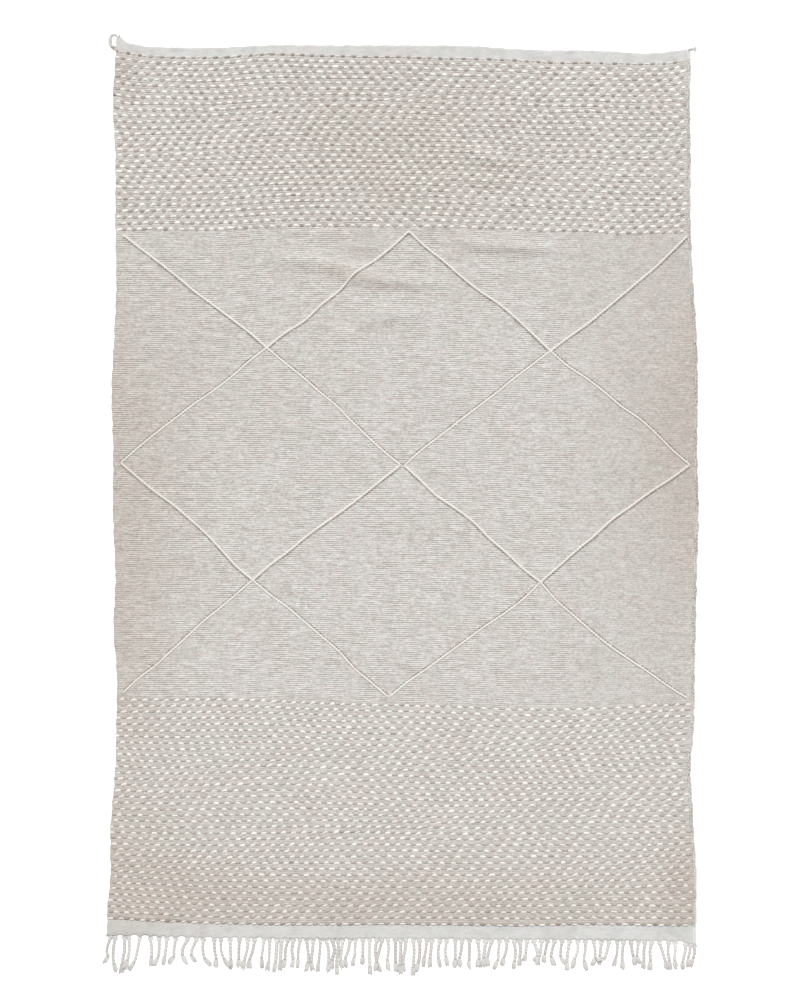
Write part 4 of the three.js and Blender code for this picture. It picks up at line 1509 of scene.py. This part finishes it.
strands, tufts = [], []
loose = np.random.default_rng(STRAND_SEED)
for number in range(len(STRANDS["root"])):
    root, middle, low_x, tip, reach, over = (STRANDS[name][number] for name in STRANDS)
    edge = near_line(root_shares[number : number + 1])[0]
    corners = [
        (root, edge + ROOT_TUCK),
        (middle, STRAND_MIDDLE),
        (low_x, STRAND_LOW),
        (tip, FRINGE_LINE - reach),
    ]
    route = route_through(corners, POINTS_TO_A_ROUTE)
    length = length_along(route)
    knot = length[-1] - KNOT_FROM_TIP * loose.normal(1, KNOT_STRAYS)
    steps = np.linspace(0, knot + PAST_KNOT, STRAND_RINGS + 2)
    xs, ys = (np.interp(steps, length, route[:, axis]) for axis in (0, 1))
    bulge = np.exp(-(((steps - knot) / KNOT_REACH) ** 4))
    funnel = np.exp(-((steps / FUNNEL) ** 2))
    rises = np.clip((steps / length[-1] - OVER_FROM) / OVER_WITHIN, 0, 1)
    over_lift = OVER_LIFT * over / MM * rises
    closing = np.clip((steps[-1] - steps) / CLOSING, THINNEST, 1)
    wide = STRAND_HALF_WIDTH * loose.normal(1, STRAND_WIDTH_SPREAD)
    wide = wide * (1 + FUNNEL_WIDENS * funnel + KNOT_WIDENS * bulge) * closing
    high = STRAND_HALF_HEIGHT * (1 - FUNNEL_FLATTENS * funnel) * closing
    path = np.stack([xs, ys, STRAND_LIES * high + over_lift], axis=-1)[None]
    turn = 2 * np.pi * steps / STRAND_TWIST + loose.uniform(0, STRAND_TURNS_START)
    lobes = STRAND_LOBES * (1 - KNOT_SMOOTHS * bulge)
    tube = tubes(path, wide, high, STRAND_SIDES, lobes[None, 1:-1, None], turn)
    groove = grooves(turn, STRAND_SIDES)
    tone = np.full(len(groove), loose.normal())
    strands.append((*tube, np.stack([tone, groove], axis=-1)))

    begin = np.array([xs[TUFT_RING], ys[TUFT_RING]])
    to_tip = route[-1] - begin
    path = locks(
        begin,
        heading=np.arctan2(to_tip[1], to_tip[0]),
        reach=TUFT_REACH * np.linalg.norm(to_tip),
        spread_angle=LOCK_SPREAD,
        count=LOCKS_TO_A_TUFT,
        lift_up=over_lift[-1],
        root_width=TUFT_HALF_WIDTH,
        loose=loose,
    )
    wide, high = LOCK_HALF_WIDTH * LOCK_GIRTH, LOCK_HALF_HEIGHT * LOCK_GIRTH
    tufts.append(lock_tubes(path, wide, high, TUFT_TONE, TUFT_GROOVE, loose))

cotton_cord = fringe_cotton()
in_fringe = [cotton_piece("fringe_strands", strands), cotton_piece("fringe_tufts", tufts)]
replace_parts(in_fringe[0], "fringe")

xs = cloth_x(near_shares, near_edge)
path = np.stack([xs, near_edge + LOCKING_BESIDE, np.full_like(xs, LOCKING_LIES)], axis=-1)[None]
tube = tubes(path, LOCKING_RADIUS, LOCKING_RADIUS, LOCKING_SIDES)
values = np.broadcast_to([0.0, LOCKING_GROOVE], (len(tube[0]), 2))
in_fringe.append(cotton_piece("locking_yarn", [(*tube, values)]))

# Far corners
# At the far left corner a loop of the selvedge cord stands out beside the drawn-out point, with the
# end of a taupe weft beside it. At the far right corner the cord ends in a short tie with a brush.
LOOP_ROUTE = table("x y radius", [
    [-744, 1226.5, 2.4],
    [-749.5, 1230.2, 2.6],
    [-755, 1230.8, 3.0],
    [-759.5, 1228, 3.8],
    [-762.3, 1222, 4.8],
    [-762.8, 1214, 5.2],
    [-761.8, 1206.5, 5.0],
    [-759, 1201.3, 4.4],
    [-754.5, 1199.2, 3.6],
    [-747, 1199, 3.0],
])
TIE_ROUTE = table("x y radius", [
    [751, 1188.5, 2.4],
    [757, 1192.5, 2.8],
    [762, 1194, 3],
    [767, 1193.6, 3],
])
YARN_END = [(-762.5, 1199.5), (-756, 1194.5), (-748, 1190), (-741, 1186)]
PINK_WISP = [(-742, 1222), (-740, 1228), (-736, 1231)]
TIE_KNOT = [(752.5, 1188.5), (755.5, 1191.5), (759, 1190.5), (762, 1188.5)]
HIGHEST_CORD = 3.2 * MM
CORD_THINS = 6
CORD_END_GIRTH = 0.7
# How much painted shade lies in the grooves of a cord's twist
CORD_GROOVES = 0.3
CORD_CLEARS = 1.01
BRUSH_LENGTH = 9 * MM
BRUSH_TUCK = 2 * MM
BRUSH_HEADING = -0.1
BRUSH_SPREAD = np.radians(32)
BRUSH_LOCKS = 9
BRUSH_LIFT = 0.8 * MM
BRUSH_ROOT = 2.4 * MM
BRUSH_TONE = (0, 1)
BRUSH_GROOVE = 0.15
BRUSH_SEED = 5
BRUSH_GIRTH = np.array([0, 0.8, 1, 1.05, 1, 0.85, 0.6, 0])
BRUSH_HALF_WIDTH = 1.5 * MM
BRUSH_HALF_HEIGHT = 1.2 * MM


def cord(corners, radius, count, sides, twist, lobes, shade, lies_on=0):
    """A twisted cord through a few places, with its radius at each. It lies on what is at a given
    height, thins towards its ends, and has painted shade in the grooves of its twist over an even
    shade."""
    corners = np.column_stack([corners, np.broadcast_to(radius, len(corners))])
    route = route_through(corners, count)
    steps = np.linspace(0, 1, count)
    from_end = np.minimum(steps, 1 - steps)
    girth = route[:, 2] * np.minimum(1, CORD_THINS * from_end + CORD_END_GIRTH)
    high = np.minimum(girth, HIGHEST_CORD)
    path = np.column_stack([route[:, :2], lies_on + (CORD_CLEARS + lobes) * high])[None]
    length = np.linalg.norm(np.diff(route, axis=0), axis=1).sum()
    turn = 2 * np.pi * steps * length / twist
    tube = tubes(path, girth, high, sides, lobes, turn)
    groove = grooves(turn, sides)
    return *tube, np.stack([0 * groove, shade + CORD_GROOVES * groove], axis=-1)


def route_cord(route, **shape):
    """A cord through the places of a table, with the radius that it has there."""
    return cord(np.stack([route["x"], route["y"]], axis=-1), route["radius"], **shape)


loop = route_cord(LOOP_ROUTE, count=60, sides=12, twist=34 * MM, lobes=0.05, shade=0.45)
tie = route_cord(TIE_ROUTE, count=24, sides=10, twist=18 * MM, lobes=0.08, shade=0.1)
loose = np.random.default_rng(BRUSH_SEED)
path = locks(
    np.array([TIE_ROUTE["x"][-1] - BRUSH_TUCK, TIE_ROUTE["y"][-1]]),
    heading=BRUSH_HEADING,
    reach=BRUSH_LENGTH,
    spread_angle=BRUSH_SPREAD,
    count=BRUSH_LOCKS,
    lift_up=BRUSH_LIFT,
    root_width=BRUSH_ROOT,
    loose=loose,
)
wide, high = BRUSH_HALF_WIDTH * BRUSH_GIRTH, BRUSH_HALF_HEIGHT * BRUSH_GIRTH
brush = lock_tubes(path, wide, high, BRUSH_TONE, BRUSH_GROOVE, loose)
for name, parts in (("corner_loop", [loop]), ("corner_tassel", [tie, brush])):
    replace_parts(cotton_piece(name + "_cord", parts), name)

# The yarn ends beside them: places, radius and height of what they lie on in millimetres, tone,
# yarn, slot
for name, corners, radius, lies_on, tone, yarn, slot in (
    ("taupe_yarn_end", YARN_END, 1.7, 2.6, -1.5, taupe_yarn, "taupe_wool"),
    ("pink_wisp", PINK_WISP, 1.3, 1.6, 0, cotton_cord, "warp_cotton"),
    ("tie_knot", TIE_KNOT, 1.15, 3.6, -0.5, taupe_yarn, "taupe_wool"),
):
    shape = {"count": 14, "sides": 6, "twist": 8 * MM, "lobes": 0.1, "shade": 0.0}
    tube = cord(np.array(corners) * MM, radius * MM, lies_on=lies_on * MM, **shape)
    points, faces, places, values = tube
    values = {"tone": tone + values[:, 0], "zone": values[:, 0], "groove": 0.7 + values[:, 0]}
    mesh_piece(name, points, faces, yarn, values, places)

low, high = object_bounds()
